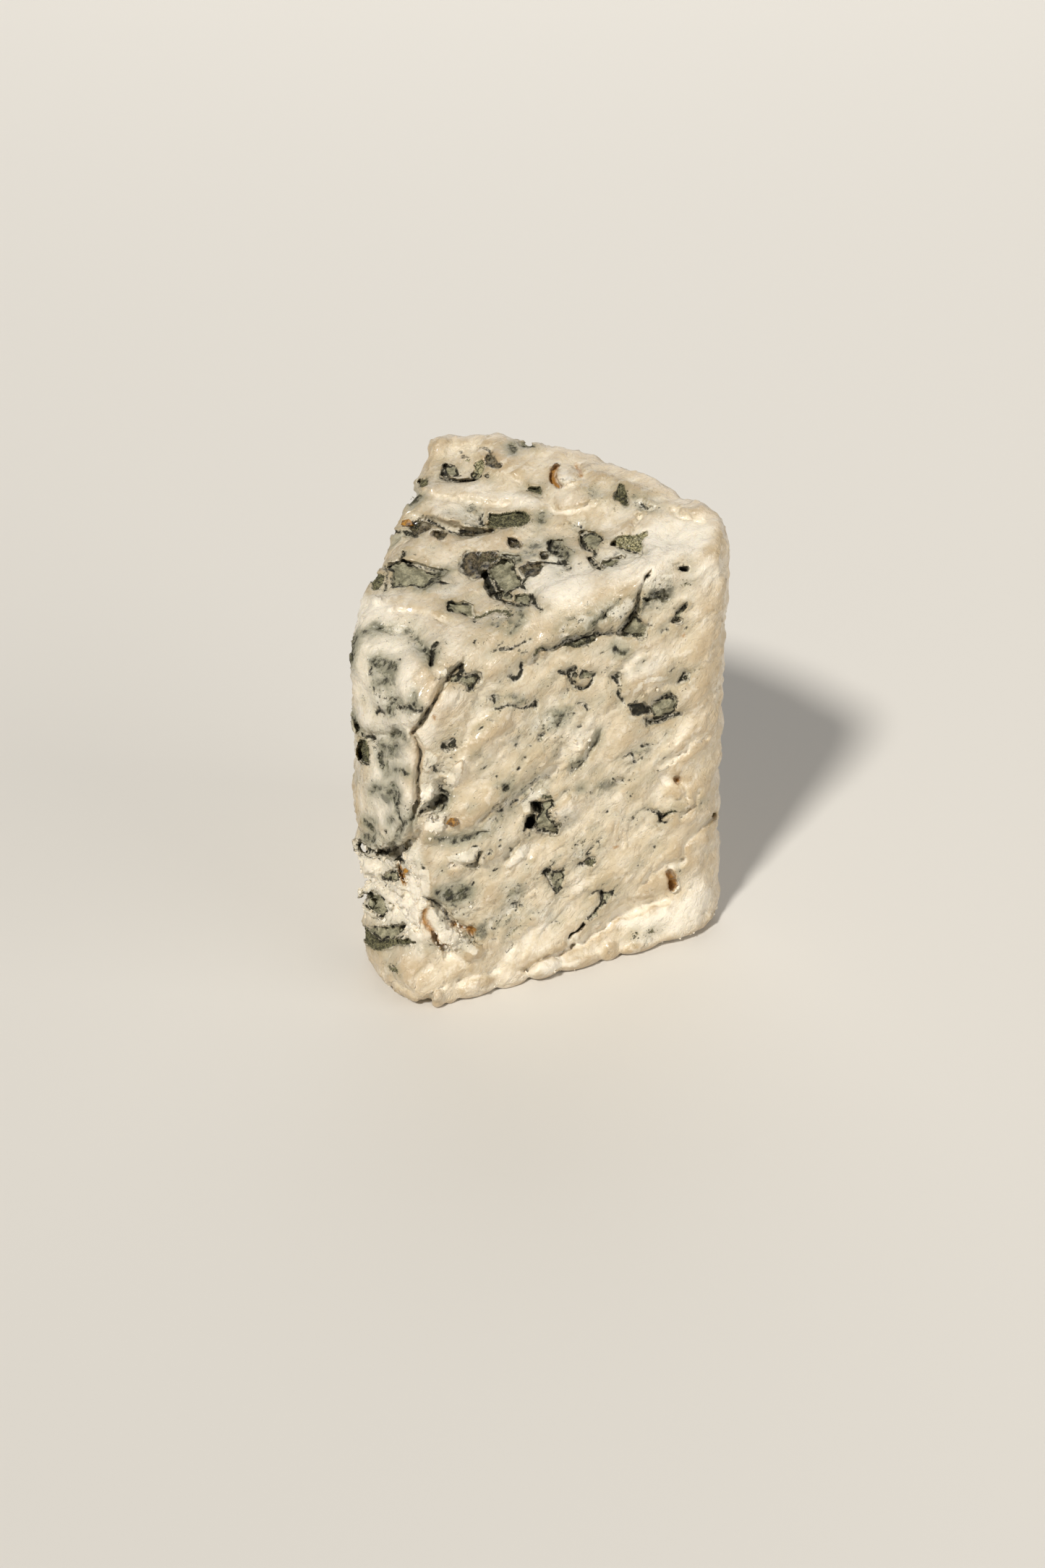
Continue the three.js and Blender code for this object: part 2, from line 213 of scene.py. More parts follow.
# Broad lobes: face, middle, half width and half height, and how proud.
LOBE_REACH, LOBE_DEPTH = 1.9, 8
LOBES = [
    (NOSE, 13, 72, 14, 9, 1.7), (NOSE, 11, 47, 12, 13, 1.5), (NOSE, 17, 3, 15, 7.5, 2.8),
    (NOSE, 22.6, 1.6, 3.4, 3, 1), (NOSE, 12, 23, 16, 7, -1.5), (NOSE, 20, 31, 6, 6, -1.2),
    (RIGHT, 22.6, 53, 2.2, 11, 1.5), (RIGHT, 29, 54, 4, 9, -1.5), (RIGHT, 28, 36, 4, 6, -1),
    (RIGHT, 26, 75, 5, 4, 0.9), (RIGHT, 85, 5, 11, 6, 1.4), (RIGHT, 75, 70, 8, 6, 0.9),
    (RIGHT, 44, 60, 9, 12, 0.8), (LEFT, 60, 55, 14, 16, 0.8), (TOP, -8, 93, 26, 9, 3),
    (TOP, 22, 62, 9, 16, 0.8),
    # Smaller, rounder swellings of the paste.
    (RIGHT, 78, 68, 5, 4, 0.6), (RIGHT, 33, 69, 4, 5, 0.7), (RIGHT, 55.5, 39, 4, 3, 0.5),
    (RIGHT, 59, 40, 5, 3, 0.6), (RIGHT, 52.5, 15, 3, 2.5, 0.6), (RIGHT, 80, 88.5, 5, 2.5, 0.8),
    (RIGHT, 71, 92, 9, 5, 0.7), (RIGHT, 45, 85, 8, 4, 0.6), (TOP, -20, 69.5, 7, 3.4, 1.1),
    (TOP, -18, 77.5, 6, 2.4, 0.7), (TOP, -9, 80.6, 6, 2.4, 0.9), (TOP, -13.6, 75.2, 2.4, 2.4, 0.6),
    (TOP, 1, 86, 4.4, 3.6, 1), (TOP, -38, 87, 2.6, 2.6, 1.4), (TOP, 25.5, 93.5, 4, 2.2, 1.5),
    (TOP, -13.4, 38.4, 1.6, 1.4, 0.9), (TOP, -9, 37.6, 1.6, 1.2, 0.8), (TOP, 14, 60, 6, 4, 0.6),
    (TOP, 27, 79, 7, 3, 0.9),
]
for face, across, up, half_width, half_height, proud in LOBES:
    part, (x, y, z) = window([face.at(across, up)], LOBE_REACH * max(half_width, half_height))
    a, b = face.measure(x, y, z)
    spread = ((a - across) / half_width) ** 2 + ((b - up) / half_height) ** 2
    if face in (RIGHT, LEFT):
        out = np.abs(x) * COSINE - y * SINE
    else:
        out = skin[part]
    skin[part] -= proud * np.exp(-(spread**1.5) - (out / LOBE_DEPTH) ** 2) * hold_foot(z)


def edge_distance(a, b, width, points, closed):
    """How far a place on a face is from the edge of a stroke, or of a closed patch."""
    nearest = np.full(a.shape, 1e6, np.float32)
    inside = np.zeros(a.shape, bool)
    others = points[1:] + points[:1] if closed or len(points) == 1 else points[1:]
    for (a0, b0), (a1, b1) in zip(points, others):
        da, db = a1 - a0, b1 - b0
        t = np.clip(((a - a0) * da + (b - b0) * db) / (da * da + db * db + 1e-6), 0, 1)
        nearest = np.minimum(nearest, np.hypot(a - a0 - t * da, b - b0 - t * db))
        if closed and b0 != b1:
            inside ^= ((b0 > b) != (b1 > b)) & (a < (b - b0) * da / db + a0)
    return np.where(inside, -nearest, nearest) - width / 2


def ragged(x, y, z, size, depth):
    """Bends a place a little, so that an edge drawn there is torn and not ruled."""
    return tuple(depth * (noise(x, y, z, size, seed) + 0.5 * noise(x, y, z, size / 2.4, seed + 2))
                 for seed in (1, 3))


def line_places(face, points):
    return [face.at(*point) for point in points]


# Clefts, creases and folds: face, width, depth, how far the paste above its line stands over that
# below, and the line.
CREASE_REACH, CREASE_DEPTH, LIP_WIDTH = 8, 7, 3
CREASES = [
    (RIGHT, 0.5, 3, 1.4, [(24, 67.1), (25.4, 68.5), (26.8, 70.2), (27.8, 71.6), (29.2, 73.3), (30.6, 75.4),
      (31.4, 77.1), (32.3, 78.5), (34, 79.7)]),
    (RIGHT, 0.3, 1, 0.6, [(33, 79), (34.4, 80.2), (36, 81.3), (38, 82.4)]),
    (RIGHT, 0.5, 0.9, 0.6, [(27.6, 84), (28.1, 81.2), (29.7, 79.9), (30.4, 77.4)]),
    (RIGHT, 0.3, 3, 0, [(24.4, 65.8), (25.4, 63.4), (25.4, 61), (25, 58), (24.6, 54), (24.3, 49),
      (23.8, 45.9), (22.8, 43.1), (21.5, 41.4)]),
    (NOSE, 0.8, 3, 1.4, [(25, 44), (22.4, 40.4), (19.8, 37.2), (15, 34.2), (10, 31.8)]),
    (NOSE, 0.6, 1.2, 0.9, [(10, 31.8), (7.5, 30.9), (5, 30), (2.6, 29.4)]),
    (NOSE, 0.8, 1.3, 0.6, [(2.4, 58.2), (5, 57.4), (10, 59), (16, 62), (19, 64.6), (24, 67.6)]),
    (NOSE, 0.6, 1, 0.4, [(22.2, 5), (24.5, 9.5), (28, 13)]),
    (NOSE, 0.8, 0.9, 0.3, [(13, 0.4), (15, 2.6), (20, 3.2), (26, 2)]),
    (RIGHT, 0.9, 1.7, -0.6, [(60, 5.8), (62, 6), (63.2, 7.4), (65.6, 7.8), (67.2, 8.4), (68.4, 9.8),
      (70, 11), (72, 11.4), (76, 11.4), (82, 11.8)]),
    (RIGHT, 0.8, 1.3, 0.6, [(77.6, 18), (78.8, 19.4), (80, 20), (81.6, 20.4), (83.6, 20.6), (86, 20.4)]),
    (RIGHT, 0.8, 1.4, 0.6, [(86.4, 21.2), (86.8, 24), (87.6, 25.2), (88.8, 26.4), (91.2, 28.4),
      (93.6, 30)]),
    (RIGHT, 0.7, 0.8, 0.7, [(38, 43.4), (41.2, 45), (44.7, 46.7), (48.1, 47.9), (51.6, 49.6), (55, 50.7)]),
    (RIGHT, 0.6, 0.8, 0.8, [(59.7, 49.1), (61.4, 50), (62.4, 51.4), (63.5, 52.9), (64.5, 54.4),
      (65.6, 57.4)]),
    (RIGHT, 0.7, 1, 0.9, [(50, 77.4), (52.6, 79.2), (55, 78.8), (57, 79.6), (60, 80), (64.4, 80.6),
      (68, 79.4)]),
    (RIGHT, 0.5, 0.5, 0.3, [(64.4, 81.6), (66.2, 83.4), (67.9, 85.2)]),
    (RIGHT, 0.5, 0.9, 0.7, [(70.1, 79.7), (71.6, 81), (73.3, 83.2), (73.9, 86), (75, 88.6), (76.4, 91)]),
    (RIGHT, 0.6, 1.3, 0.6, [(24.6, 2.6), (25.6, 2.3), (27.4, 3.4), (28.4, 4.3), (30.9, 4.8), (33.4, 5.2)]),
    (RIGHT, 0.8, 1.4, 0.6, [(47, 3), (48.4, 3.6), (50.2, 4.1), (52.4, 4.5), (53.4, 5), (57.7, 5.5),
      (60, 5.8)]),
    (RIGHT, 0.6, 0.8, 0.2, [(39.9, 3.2), (40.6, 5), (42.4, 5.7)]),
    (RIGHT, 0.6, 0.8, 0.2, [(59.6, 9.2), (60, 7.2), (61.2, 6)]),
    (RIGHT, 0.7, 0.9, 0.5, [(80, 46), (82.4, 46.2), (84.7, 47), (86.2, 47.9), (87.2, 49.5), (91, 49.8)]),
    (RIGHT, 0.7, 0.9, 0.4, [(80.8, 42.7), (82.4, 41.4), (85, 40), (86.2, 38.7), (86.8, 36.4)]),
    (RIGHT, 0.9, 1, 0.5, [(85.6, 31.8), (86.8, 32.8), (88.2, 34), (89.4, 36.4)]),
    (RIGHT, 0.6, 0.7, 0.3, [(44, 31.6), (44.6, 33.6), (46.6, 35.4)]),
    (RIGHT, 0.6, 0.8, 0.4, [(32.1, 34.2), (34.3, 33.4), (37.1, 33), (38.4, 35)]),
    (RIGHT, 0.6, 0.9, 0.3, [(30.2, 14.6), (31.3, 13.2), (31.5, 12.3)]),
    (RIGHT, 0.5, 0.7, 0.3, [(32.7, 11.4), (34.5, 9.6), (35.2, 7.9)]),
    (RIGHT, 0.5, 0.7, 0.3, [(36.1, 13.9), (38.1, 12.1), (39, 10.7)]),
    (RIGHT, 0.6, 0.6, 0.4, [(63, 57.6), (66, 60.4), (71, 63.4)]),
    (RIGHT, 0.7, 0.7, 0.5, [(35.5, 62.5), (36.8, 65.6), (38.5, 67), (41, 68.4)]),
    (RIGHT, 0.5, 0.5, 0.3, [(36.6, 56.6), (38.5, 57.6), (39.5, 58.5), (40.4, 61)]),
    (RIGHT, 0.5, 0.5, 0.3, [(42.6, 60.7), (45, 61.6), (46.6, 62.8), (46.6, 66)]),
    (RIGHT, 0.6, 0.6, 0.3, [(71, 70.6), (72.6, 72.2), (76, 73)]),
    (RIGHT, 0.5, 0.6, 0.3, [(55.1, 43.5), (57, 44.1), (59.3, 45)]),
    (RIGHT, 0.6, 0.5, 0.9, [(56.4, 80.9), (59.3, 82.7), (62.2, 84.6), (65.4, 86.2), (68.7, 88),
      (72.1, 89.7), (75.6, 90.9), (79.2, 91.1), (83.2, 91.5)]),
    (TOP, 0.9, 0.9, 0.4, [(-1, 80.6), (2, 81.8), (4.4, 84), (4.6, 86.4)]),
    (TOP, 1, 1.1, -0.5, [(-7, 30.6), (-4, 32.2), (-1, 33.4), (1, 33), (4, 31), (8, 28.6), (11, 27),
      (14, 25.8)]),
    (TOP, 0.8, 0.8, 0.4, [(-7, 37.4), (-4, 38.6), (0, 39.8), (3, 40)]),
    (TOP, 0.9, 1.2, 0.7, [(-26, 64.4), (-22, 65.2), (-15, 65), (-11, 66), (-8, 69)]),
    (TOP, 0.8, 0.9, 0.5, [(16.4, 87.4), (18.4, 84), (19.8, 81.6)]),
    (TOP, 0.8, 0.9, 0.5, [(-21, 74.6), (-16, 75.4), (-12.6, 76.6), (-11, 79)]),
    (TOP, 0.7, 0.6, 0.3, [(-33, 71), (-24, 72.5), (-19, 73.4)]),
    (TOP, 0.8, 0.8, 0.35, [(-16, 86), (-12, 84.4), (-6, 83.6), (-2, 81)]),
    (TOP, 0.8, 0.7, 0.3, [(22, 92), (24, 90.6), (30, 90)]),
    (NOSE, 0.7, 1, 0.4, [(4, 22), (9, 24), (15, 23), (20, 26)]),
    (NOSE, 0.7, 0.8, 0.3, [(14, 20), (19, 21.5), (24, 19)]),
]
for face, width, depth, step, points in CREASES:
    part, (x, y, z) = window(line_places(face, points), CREASE_REACH)
    a, b = face.measure(x, y, z)
    da, db = ragged(x, y, z, 2.2, 0.35)
    a, b = a + da, b + db
    distance = edge_distance(a, b, width, points, False)
    (a0, b0), (a1, b1) = points[0], points[-1]
    side = ((a1 - a0) * (b - b0) - (b1 - b0) * (a - a0)) / math.hypot(a1 - a0, b1 - b0)
    side = side * (1 if a1 > a0 else -1)  # above the line is more than 0
    groove = depth * falling(np.maximum(distance, 0), 0.35 * width + 0.3)
    lip = step * fade(side, -0.6, 0.9) * falling(np.maximum(distance, 0), LIP_WIDTH)
    skin[part] += (groove - lip) * hold_foot(z) * falling(skin[part], CREASE_DEPTH)

# Lifted flakes and crumbly slabs: face, thickness, the way they lift in degrees, and the outline.
FLAKE_REACH, FLAKE_ROUND = 3.4, 0.5
FLAKES = [
    (RIGHT, 1.7, -40, [(25.2, 55), (26.4, 55.3), (28, 54.7), (29.2, 53.2), (29.6, 51.6), (28.5, 50.2),
      (26.3, 49.1), (25, 49.3), (24.9, 52)]),
    (RIGHT, 1.4, -10, [(32.6, 57.5), (34.4, 57.9), (34.8, 55.3), (34, 53), (32.4, 51.3), (30.6, 53.2),
      (31.2, 55.8)]),
    (RIGHT, 1, -60, [(26.2, 62.9), (28.5, 61.4), (29.6, 59.5), (28.5, 57.8), (26.9, 56.9), (25.8, 58.5)]),
    (RIGHT, 1.2, 90, [(25.9, 46.2), (27.8, 46.9), (30.2, 45.4), (31.1, 43.7), (30.1, 42.2), (27.9, 43.1),
      (25.7, 43.7)]),
    (RIGHT, 0.8, -30, [(56, 50), (58.5, 56), (62.6, 60.4), (65.4, 58.4), (63.5, 53.6), (59, 49.8)]),
    (RIGHT, 1, -50, [(30.6, 37), (32.6, 33.8), (36.5, 33.2), (38.8, 35), (38.4, 37.4), (34, 36.6)]),
    (RIGHT, 1, -70, [(44.4, 31.8), (47.7, 34.5), (49.8, 34.8), (50.2, 32.5), (47.7, 30.5), (44.4, 29.2)]),
    (RIGHT, 0.7, 190, [(54.8, 41.7), (60.6, 42.4), (61.1, 38.8), (57.7, 37.9), (56.1, 39.2)]),
    (RIGHT, 0.9, -20, [(79.6, 44), (81, 38), (84.6, 36), (86.6, 38.4), (84.4, 41)]),
    (RIGHT, 1.2, -60, [(25.6, 24.7), (28.3, 24.9), (30.3, 22.5), (31.5, 19.5), (34.8, 15.9), (38.5, 11.3),
      (37.2, 10.7), (33.5, 13.2), (30.6, 12.7), (27.4, 18), (25.8, 21.6)]),
    (RIGHT, 0.9, 110, [(75, 62.6), (77, 64), (80.6, 63.8), (82, 62.6), (78.4, 61.8)]),
    (RIGHT, 0.8, 60, [(45, 43.6), (49, 46.6), (54.6, 46), (53, 43.8), (48.6, 43)]),
    (RIGHT, 0.9, -90, [(34, 12.2), (37, 14.4), (39.4, 12), (38, 10.2), (35.4, 10)]),
    (RIGHT, 0.7, 0, [(25.4, 40.6), (29, 46.6), (31.4, 46), (30, 42), (28, 40)]),
    (TOP, 1.2, -70, [(-9.5, 90.5), (-8, 93), (-4, 94.5), (-2.8, 91.5), (-4.5, 88.3), (-7.5, 88)]),
    (TOP, 0.7, 60, [(-3, 76), (-1.6, 79), (2, 81), (5, 79), (3, 75.4)]),
    (NOSE, 1.3, 180, [(-0.6, 24), (1, 29.4), (6, 29.4), (9, 26), (5, 22.6)]),
    (NOSE, 1.3, 190, [(-1.4, 16.4), (1.6, 19.6), (4.4, 20.8), (5, 18), (3, 16)]),
    (NOSE, 1, -90, [(15, 27), (19.6, 29.6), (24.6, 27), (24, 20), (18, 19.6), (15.4, 22.6)]),
    (NOSE, 0.8, 90, [(8, 23), (13, 25.4), (15, 22), (11, 20.8)]),
]
for face, thickness, lifts, points in FLAKES:
    part, (x, y, z) = window(line_places(face, points), FLAKE_REACH)
    a, b = face.measure(x, y, z)
    da, db = ragged(x, y, z, 1.3, 0.5)
    distance = edge_distance(a + da, b + db, 0, points, True)
    cosine, sine = math.cos(math.radians(lifts)), math.sin(math.radians(lifts))
    ends = [p * cosine + q * sine for p, q in points]
    lift = thickness * (0.15 + 0.85 * fade(a * cosine + b * sine, min(ends), max(ends)))
    lift = lift * (1 + 0.35 * noise(x, y, z, 1.6, 7))
    slab = rounded_meeting([distance, skin[part] - lift], FLAKE_ROUND)
    skin[part] = np.minimum(skin[part], np.where(np.abs(skin[part]) < 4, slab, 9))

# The foot is pressed into soft, uneven lumps where the cuts meet the face that it rests on: face,
# start, end and seed.
FOOT_BLEND = 0.45
FEET = [(RIGHT, 27, 75, 11), (LEFT, 38, 90, 12)]
for face, start, end, seed in FEET:
    draw = np.random.default_rng(seed)
    across = start
    while across < end:
        length, height = 3 + 7 * draw.uniform(0, 1) ** 1.4, draw.uniform(1.4, 3.4)
        proud = draw.uniform(1.2, 3.7) * (1 if face is RIGHT else 0.35)
        part, (x, y, z) = window([face.at(across + length / 2, height)], length)
        a, b = face.measure(x, y, z)
        out = np.abs(x) * COSINE - y * SINE
        size = np.sqrt(((a - across - length / 2) / (0.56 * length)) ** 2 + ((b - height) / height) ** 2
                       + ((out + 0.4) / proud) ** 2)
        lump = (size - 1) * min(height, proud)
        blend = np.clip(0.5 + 0.5 * (skin[part] - lump) / FOOT_BLEND, 0, 1)
        skin[part] = skin[part] * (1 - blend) + lump * blend - FOOT_BLEND * blend * (1 - blend)
        across += length * draw.uniform(0.8, 1.2)
skin = np.maximum(skin, -grid_axes[2][None, None, :])

# Mould and its open pockets, on each face: look, width, depth and line, or the outline of a closed
# patch where the width is 0. Slate lines a shallow floor; black is dark mould in the veins, and in the
# deep holes it is partly painted shade; olive is granular; gold and amber are dried out; brown is dried
# mould in places, and painted shade where it runs along a cleft or crease; stain lies in the paste,
# grey only shows through it, and white is bare paste, where a flake lifted or a lump broke away.
MARK_REACH, MARK_TEAR, MARK_LIP = 3, (1.5, 0.24), 0.16
MARKS = {
    RIGHT: [
        # The hole in the middle of the cut, and the open pocket beside it. The two deep holes are black
        # partly as painted shade.
        ("slate", 0, 0.9, [(51.1, 40.8), (53, 41.9), (52.1, 43.6), (55.2, 43.6), (55.4, 41.9), (54, 41.5),
          (54.7, 39.4), (55.7, 37.7), (56.6, 37.2), (56.4, 35.3), (55.4, 35.3), (54, 36.3), (52.6, 37.4),
          (51.2, 37.7), (50.9, 39.4)]),
        ("black", 0, 3.6, [(50, 44.4), (50.6, 42.2), (51.6, 41.2), (52.8, 41.2), (52.1, 43.2),
          (51.6, 44.1)]),
        ("black", 0, 5, [(49, 41.3), (50.9, 41.3), (51.1, 39.4), (50.6, 37.9), (48.3, 38.2), (48.8, 39.8)]),
        ("black", 0.4, 0.6, [(51.6, 43.9), (53.3, 43.6), (55.2, 43.1)]),
        ("olive", 1, 0.3, [(53.1, 44.8), (54.7, 44.4)]), ("black", 0.5, 0.8, [(51.6, 37.1), (52.6, 37.1)]),
        ("black", 0.45, 0.6, [(53.3, 36.5), (54.7, 36), (55.4, 35.2)]),
        ("olive", 0.8, 0.2, [(56.2, 37.2), (57, 37)]),
        # Pockets and veins along the crest.
        ("slate", 0, 1, [(73.5, 83.2), (74.6, 81.1), (75.7, 79.5), (76.3, 78.6), (75.7, 77.3), (74.2, 77.4),
          (72, 78), (70.5, 78.7), (70.1, 79.5), (72, 81.1)]),
        ("black", 0.6, 0.8, [(70.1, 79.7), (71.6, 81), (72.4, 82.3), (73.3, 83.3)]),
        ("olive", 0.9, 0.5, [(70.5, 78.5), (72.7, 77.8), (75.7, 77.3)]),
        ("black", 0.4, 0.4, [(75.7, 78.9), (77.6, 78.9)]),
        ("black", 0.5, 0.6, [(73.3, 83.2), (73.7, 84.5), (73.9, 86)]),
        # Brown along the crease here is painted shade.
        ("brown", 0.45, 0.7, [(74, 86), (74.6, 88), (75.7, 89.7)]),
        ("brown", 0.9, 1.2, [(76, 90.4), (76.4, 90.4)]),
        ("slate", 0, 0.8, [(57.4, 79.3), (59.4, 78.2), (61.6, 78), (63.9, 78.2), (65.1, 79.5), (65, 80.2),
          (63.1, 79.9), (60.5, 79.7), (58.3, 79.9)]),
        ("olive", 0.9, 0.4, [(57.6, 79), (59.4, 78.4), (61.6, 78.2), (63.9, 78.4)]),
        ("stain", 0, 0.2, [(62.2, 81.2), (63.4, 82.9), (66, 84), (67.9, 85.2), (66.5, 83.4), (64.8, 82),
          (64.2, 81.2)]),
        ("black", 0.5, 0.6, [(59.9, 79.9), (61.6, 80.1), (63.1, 80.3), (64.4, 80.6)]),
        ("black", 0.35, 0.3, [(64.2, 81.4), (66.5, 83.6), (67.9, 85.2)]),
        ("black", 0.5, 0.6, [(65.1, 79.5), (66.8, 79.5), (68.3, 79.4), (70.1, 78.9)]),
        ("olive", 0.6, 0.5, [(50.9, 77.8), (51.6, 79.2), (52.6, 79.5)]),
        ("black", 0.5, 0.8, [(52.6, 79.2), (55, 78.8), (56.8, 79.3), (57.8, 80.2), (59.9, 79.9)]),
        ("slate", 0, 0.8, [(74.2, 85.4), (76.4, 85.4), (78.7, 86.3), (79.6, 86.1), (80, 84.7), (77.9, 85),
          (75.7, 84.9)]),
        ("black", 0.5, 0.7, [(77.2, 86), (79.4, 86.4)]),
        ("olive", 0.5, 0.4, [(75.7, 84.9), (78, 84.9), (80, 84.6)]),
        ("black", 0.7, 0.6, [(80.5, 84.3), (81, 84.2)]),
        ("black", 0, 4, [(82.9, 91), (85.5, 90.8), (85.7, 89.4), (84.6, 89.5), (83.3, 89.9)]),
        ("olive", 0.8, 0.2, [(84.9, 86.5), (86.2, 86.5)]),
        ("slate", 0, 0.8, [(81.9, 79.1), (85.3, 82.3), (85.5, 81.1), (84.4, 80), (84, 78.6), (83.1, 78.7)]),
        ("black", 0.45, 0.9, [(81.9, 79.1), (83.6, 80.8), (85.3, 82.3)]),
        ("black", 0.4, 0.6, [(81.9, 79), (83.1, 78.6), (84.1, 78.6)]),
        ("black", 0.6, 0.5, [(79.3, 77.1), (81, 77.1)]),
        # Hooks and pockets in the upper half.
        ("black", 0.9, 0.5, [(69.1, 75.6), (69.6, 75.4)]),
        ("black", 0.7, 0.5, [(70.1, 74.6), (71.3, 74.1)]), ("stain", 1.6, 0, [(69, 75.6), (71.4, 74)]),
        ("black", 0.8, 0.9, [(56.1, 73.1), (58.1, 72.7)]), ("black", 1, 1.4, [(58.3, 72.8), (59.9, 73)]),
        ("black", 0.6, 1.1, [(58.8, 71.9), (59.2, 70), (59.8, 68.8), (61.6, 68.1), (63.4, 68.5),
          (64.2, 69.8)]),
        ("black", 0, 1.6, [(61.2, 72.7), (62.3, 72), (60.7, 70.3)]),
        ("slate", 0, 0.7, [(59.2, 72.3), (60.3, 72.3), (60.2, 69.6), (59.5, 69.4)]),
        ("slate", 0, 0.8, [(61.6, 72.4), (63.5, 71.5), (64.9, 71), (64.2, 70), (61, 70.5)]),
        ("black", 0.6, 0.5, [(59.2, 68.7), (57.6, 67.4)]),
        ("black", 0.9, 1.2, [(68.7, 69.3), (69.3, 67.9)]),
        ("slate", 0, 0.6, [(69.6, 69.7), (70.5, 69.4), (70.3, 67.6), (69.6, 67.6)]),
        ("black", 0.6, 0.7, [(70.1, 67), (69.8, 65.6), (69.8, 64.5), (70.7, 63.4), (71.2, 62.6)]),
        ("black", 0.9, 0.7, [(69.8, 64.8), (69.9, 64.5)]),
        ("black", 0.9, 0.7, [(62.2, 64.4), (62.5, 63.2)]),
        ("black", 0.5, 0.5, [(58.2, 63.5), (60, 62.4), (59, 61.9)]),
        ("black", 0.8, 0.5, [(56, 61), (56.5, 61.2)]),
        ("stain", 0, 0, [(55, 63.4), (57.6, 63.8), (58, 61.8), (56.4, 60.6), (55.2, 61.6)]),
        # The deep pocket near the rind, and its arc.
        ("slate", 0, 0.7, [(85.1, 65.2), (86.2, 66), (86.4, 64.6), (85.5, 64.4)]),
        ("black", 0.9, 1, [(84.3, 64.5), (85.2, 66.2)]), ("black", 0.45, 0.5, [(86.5, 65.6), (87.7, 66.3)]),
        ("black", 0.5, 0.6, [(84.4, 64.3), (86.4, 64.3)]),
        ("slate", 0, 1.1, [(77.4, 60.2), (78.9, 60.8), (81.2, 61.4), (82.4, 62), (83.9, 60.2), (83.3, 57.9),
          (82.4, 57.2), (80.5, 57), (78.5, 57.3), (77.8, 58.7)]),
        ("black", 0, 1.4, [(71, 62.5), (72, 62.2), (73, 60.2), (73.5, 58.9), (75.1, 58.5), (76.2, 58.7),
          (77.8, 58.5), (77.2, 60.2), (76, 61.2), (75.1, 61.8), (73.2, 61.7)]),
        ("black", 0.9, 1.2, [(76.6, 57.4), (77.2, 56.6), (78.9, 56.2), (82, 56.6), (84.5, 56.8)]),
        ("black", 0.6, 1.4, [(78.2, 61), (79.7, 61.2), (81.2, 61.8), (82.2, 62)]),
        ("black", 0.35, 0.3, [(82.4, 62), (84, 60.6)]),
        # Beside the loose block, and the threads behind it.
        ("slate", 0, 0.6, [(32.3, 78.3), (34.3, 77.4), (36.9, 76.9), (38.1, 76.9), (38.7, 75.2),
          (37.4, 74.7), (37.1, 73.1), (35.7, 74.7), (34.3, 76.1), (32.4, 76.6)]),
        ("slate", 0, 0.4, [(34.2, 79.8), (35.3, 79.8), (35.4, 78), (34.3, 77.7)]),
        ("black", 0.7, 0.8, [(38.1, 76.9), (38.6, 75.3)]),
        ("black", 0.5, 0.5, [(32.2, 76.8), (33.8, 76.7)]), ("black", 0.4, 0.4, [(35.3, 77.8), (37, 77)]),
        ("olive", 1.2, 0.5, [(36.6, 74), (37.3, 73.5)]),
        ("black", 0.9, 1, [(47.7, 76.9), (48.1, 75.7), (47.4, 74.3), (46.4, 73.8), (45.4, 74.7)]),
        ("black", 0.45, 0.5, [(41.2, 81.1), (43, 81.4), (44.7, 81.4)]),
        ("black", 0.45, 0.5, [(46, 81.2), (48, 81.6), (49.5, 81.8)]),
        ("black", 0.6, 0.9, [(41.9, 68), (44.7, 68.1), (46.1, 67.8), (48.1, 66.9), (49.7, 66.6),
          (51.1, 66.8)]),
        ("black", 0.8, 0.7, [(51.1, 67.5), (51.2, 66.1)]),
        ("black", 0.45, 0.5, [(41.8, 71.2), (42.1, 69.5), (41.9, 68)]),
        ("black", 0.35, 0.4, [(40.7, 70.9), (42, 71)]),
        ("black", 0.35, 0.3, [(40.8, 65.9), (41.4, 65.4), (42, 65.6)]),
        ("grey", 0, 0, [(42.4, 70.6), (46.4, 70.2), (48.6, 69), (50.6, 67.6), (48, 67.2), (44, 68.4),
          (42, 68.4)]),
        ("slate", 0, 0.6, [(31.4, 63.1), (33.2, 63.4), (33.5, 61.8), (31.6, 61.3)]),
        ("black", 0, 1, [(29.9, 61.9), (30, 63), (31.5, 63.4), (31.6, 61.1)]),
        ("black", 0.4, 0.5, [(32.1, 63.5), (33.4, 64.2)]),
        ("black", 0.4, 0.5, [(31.4, 60.9), (33, 61.2), (34, 61.2)]),
        # In the clefts round the loose block and the pillar. The brown lines down the clefts are painted
        # shade.
        ("brown", 0.5, 0.8, [(33.4, 79.4), (33, 79), (31.8, 77.8), (30.9, 76.2), (30, 74.6), (28.6, 72.6)]),
        ("brown", 0.6, 1.2, [(27.8, 71.6), (26.4, 69.8), (25, 68)]),
        ("brown", 0.35, 1, [(25.5, 63.4), (25.5, 61), (25.1, 58), (24.7, 54), (24.4, 49)]),
        ("black", 0.5, 0.4, [(27.6, 84), (28.1, 82.6)]),
        ("stain", 0, 0.4, [(26.5, 85.7), (28.9, 84.8), (29.5, 85), (28.6, 82.2), (27.3, 82.8), (27.6, 84)]),
        ("slate", 0, 0.5, [(51.9, 59.5), (53.1, 59.5), (52.8, 58.1), (51.9, 58.3)]),
        ("black", 0.4, 0.5, [(51.7, 58.2), (51.7, 59.8), (53.2, 59.7)]),
        ("black", 0.7, 0.5, [(46.2, 59), (46.8, 58.7)]),
        ("black", 0, 0.6, [(46.8, 52.5), (47.5, 53.6), (47.9, 52.9)]),
        ("black", 0.45, 0.5, [(48.2, 55), (48.1, 53.9)]),
        ("black", 0.6, 0.5, [(27.6, 58.4), (28.4, 58.2), (29, 57)]),
        ("black", 0.45, 0.5, [(30.2, 56.8), (30.8, 56.4)]),
        ("black", 1, 2, [(25, 48.1), (26.1, 48.9), (27.4, 49.4), (28.5, 49.6)]),
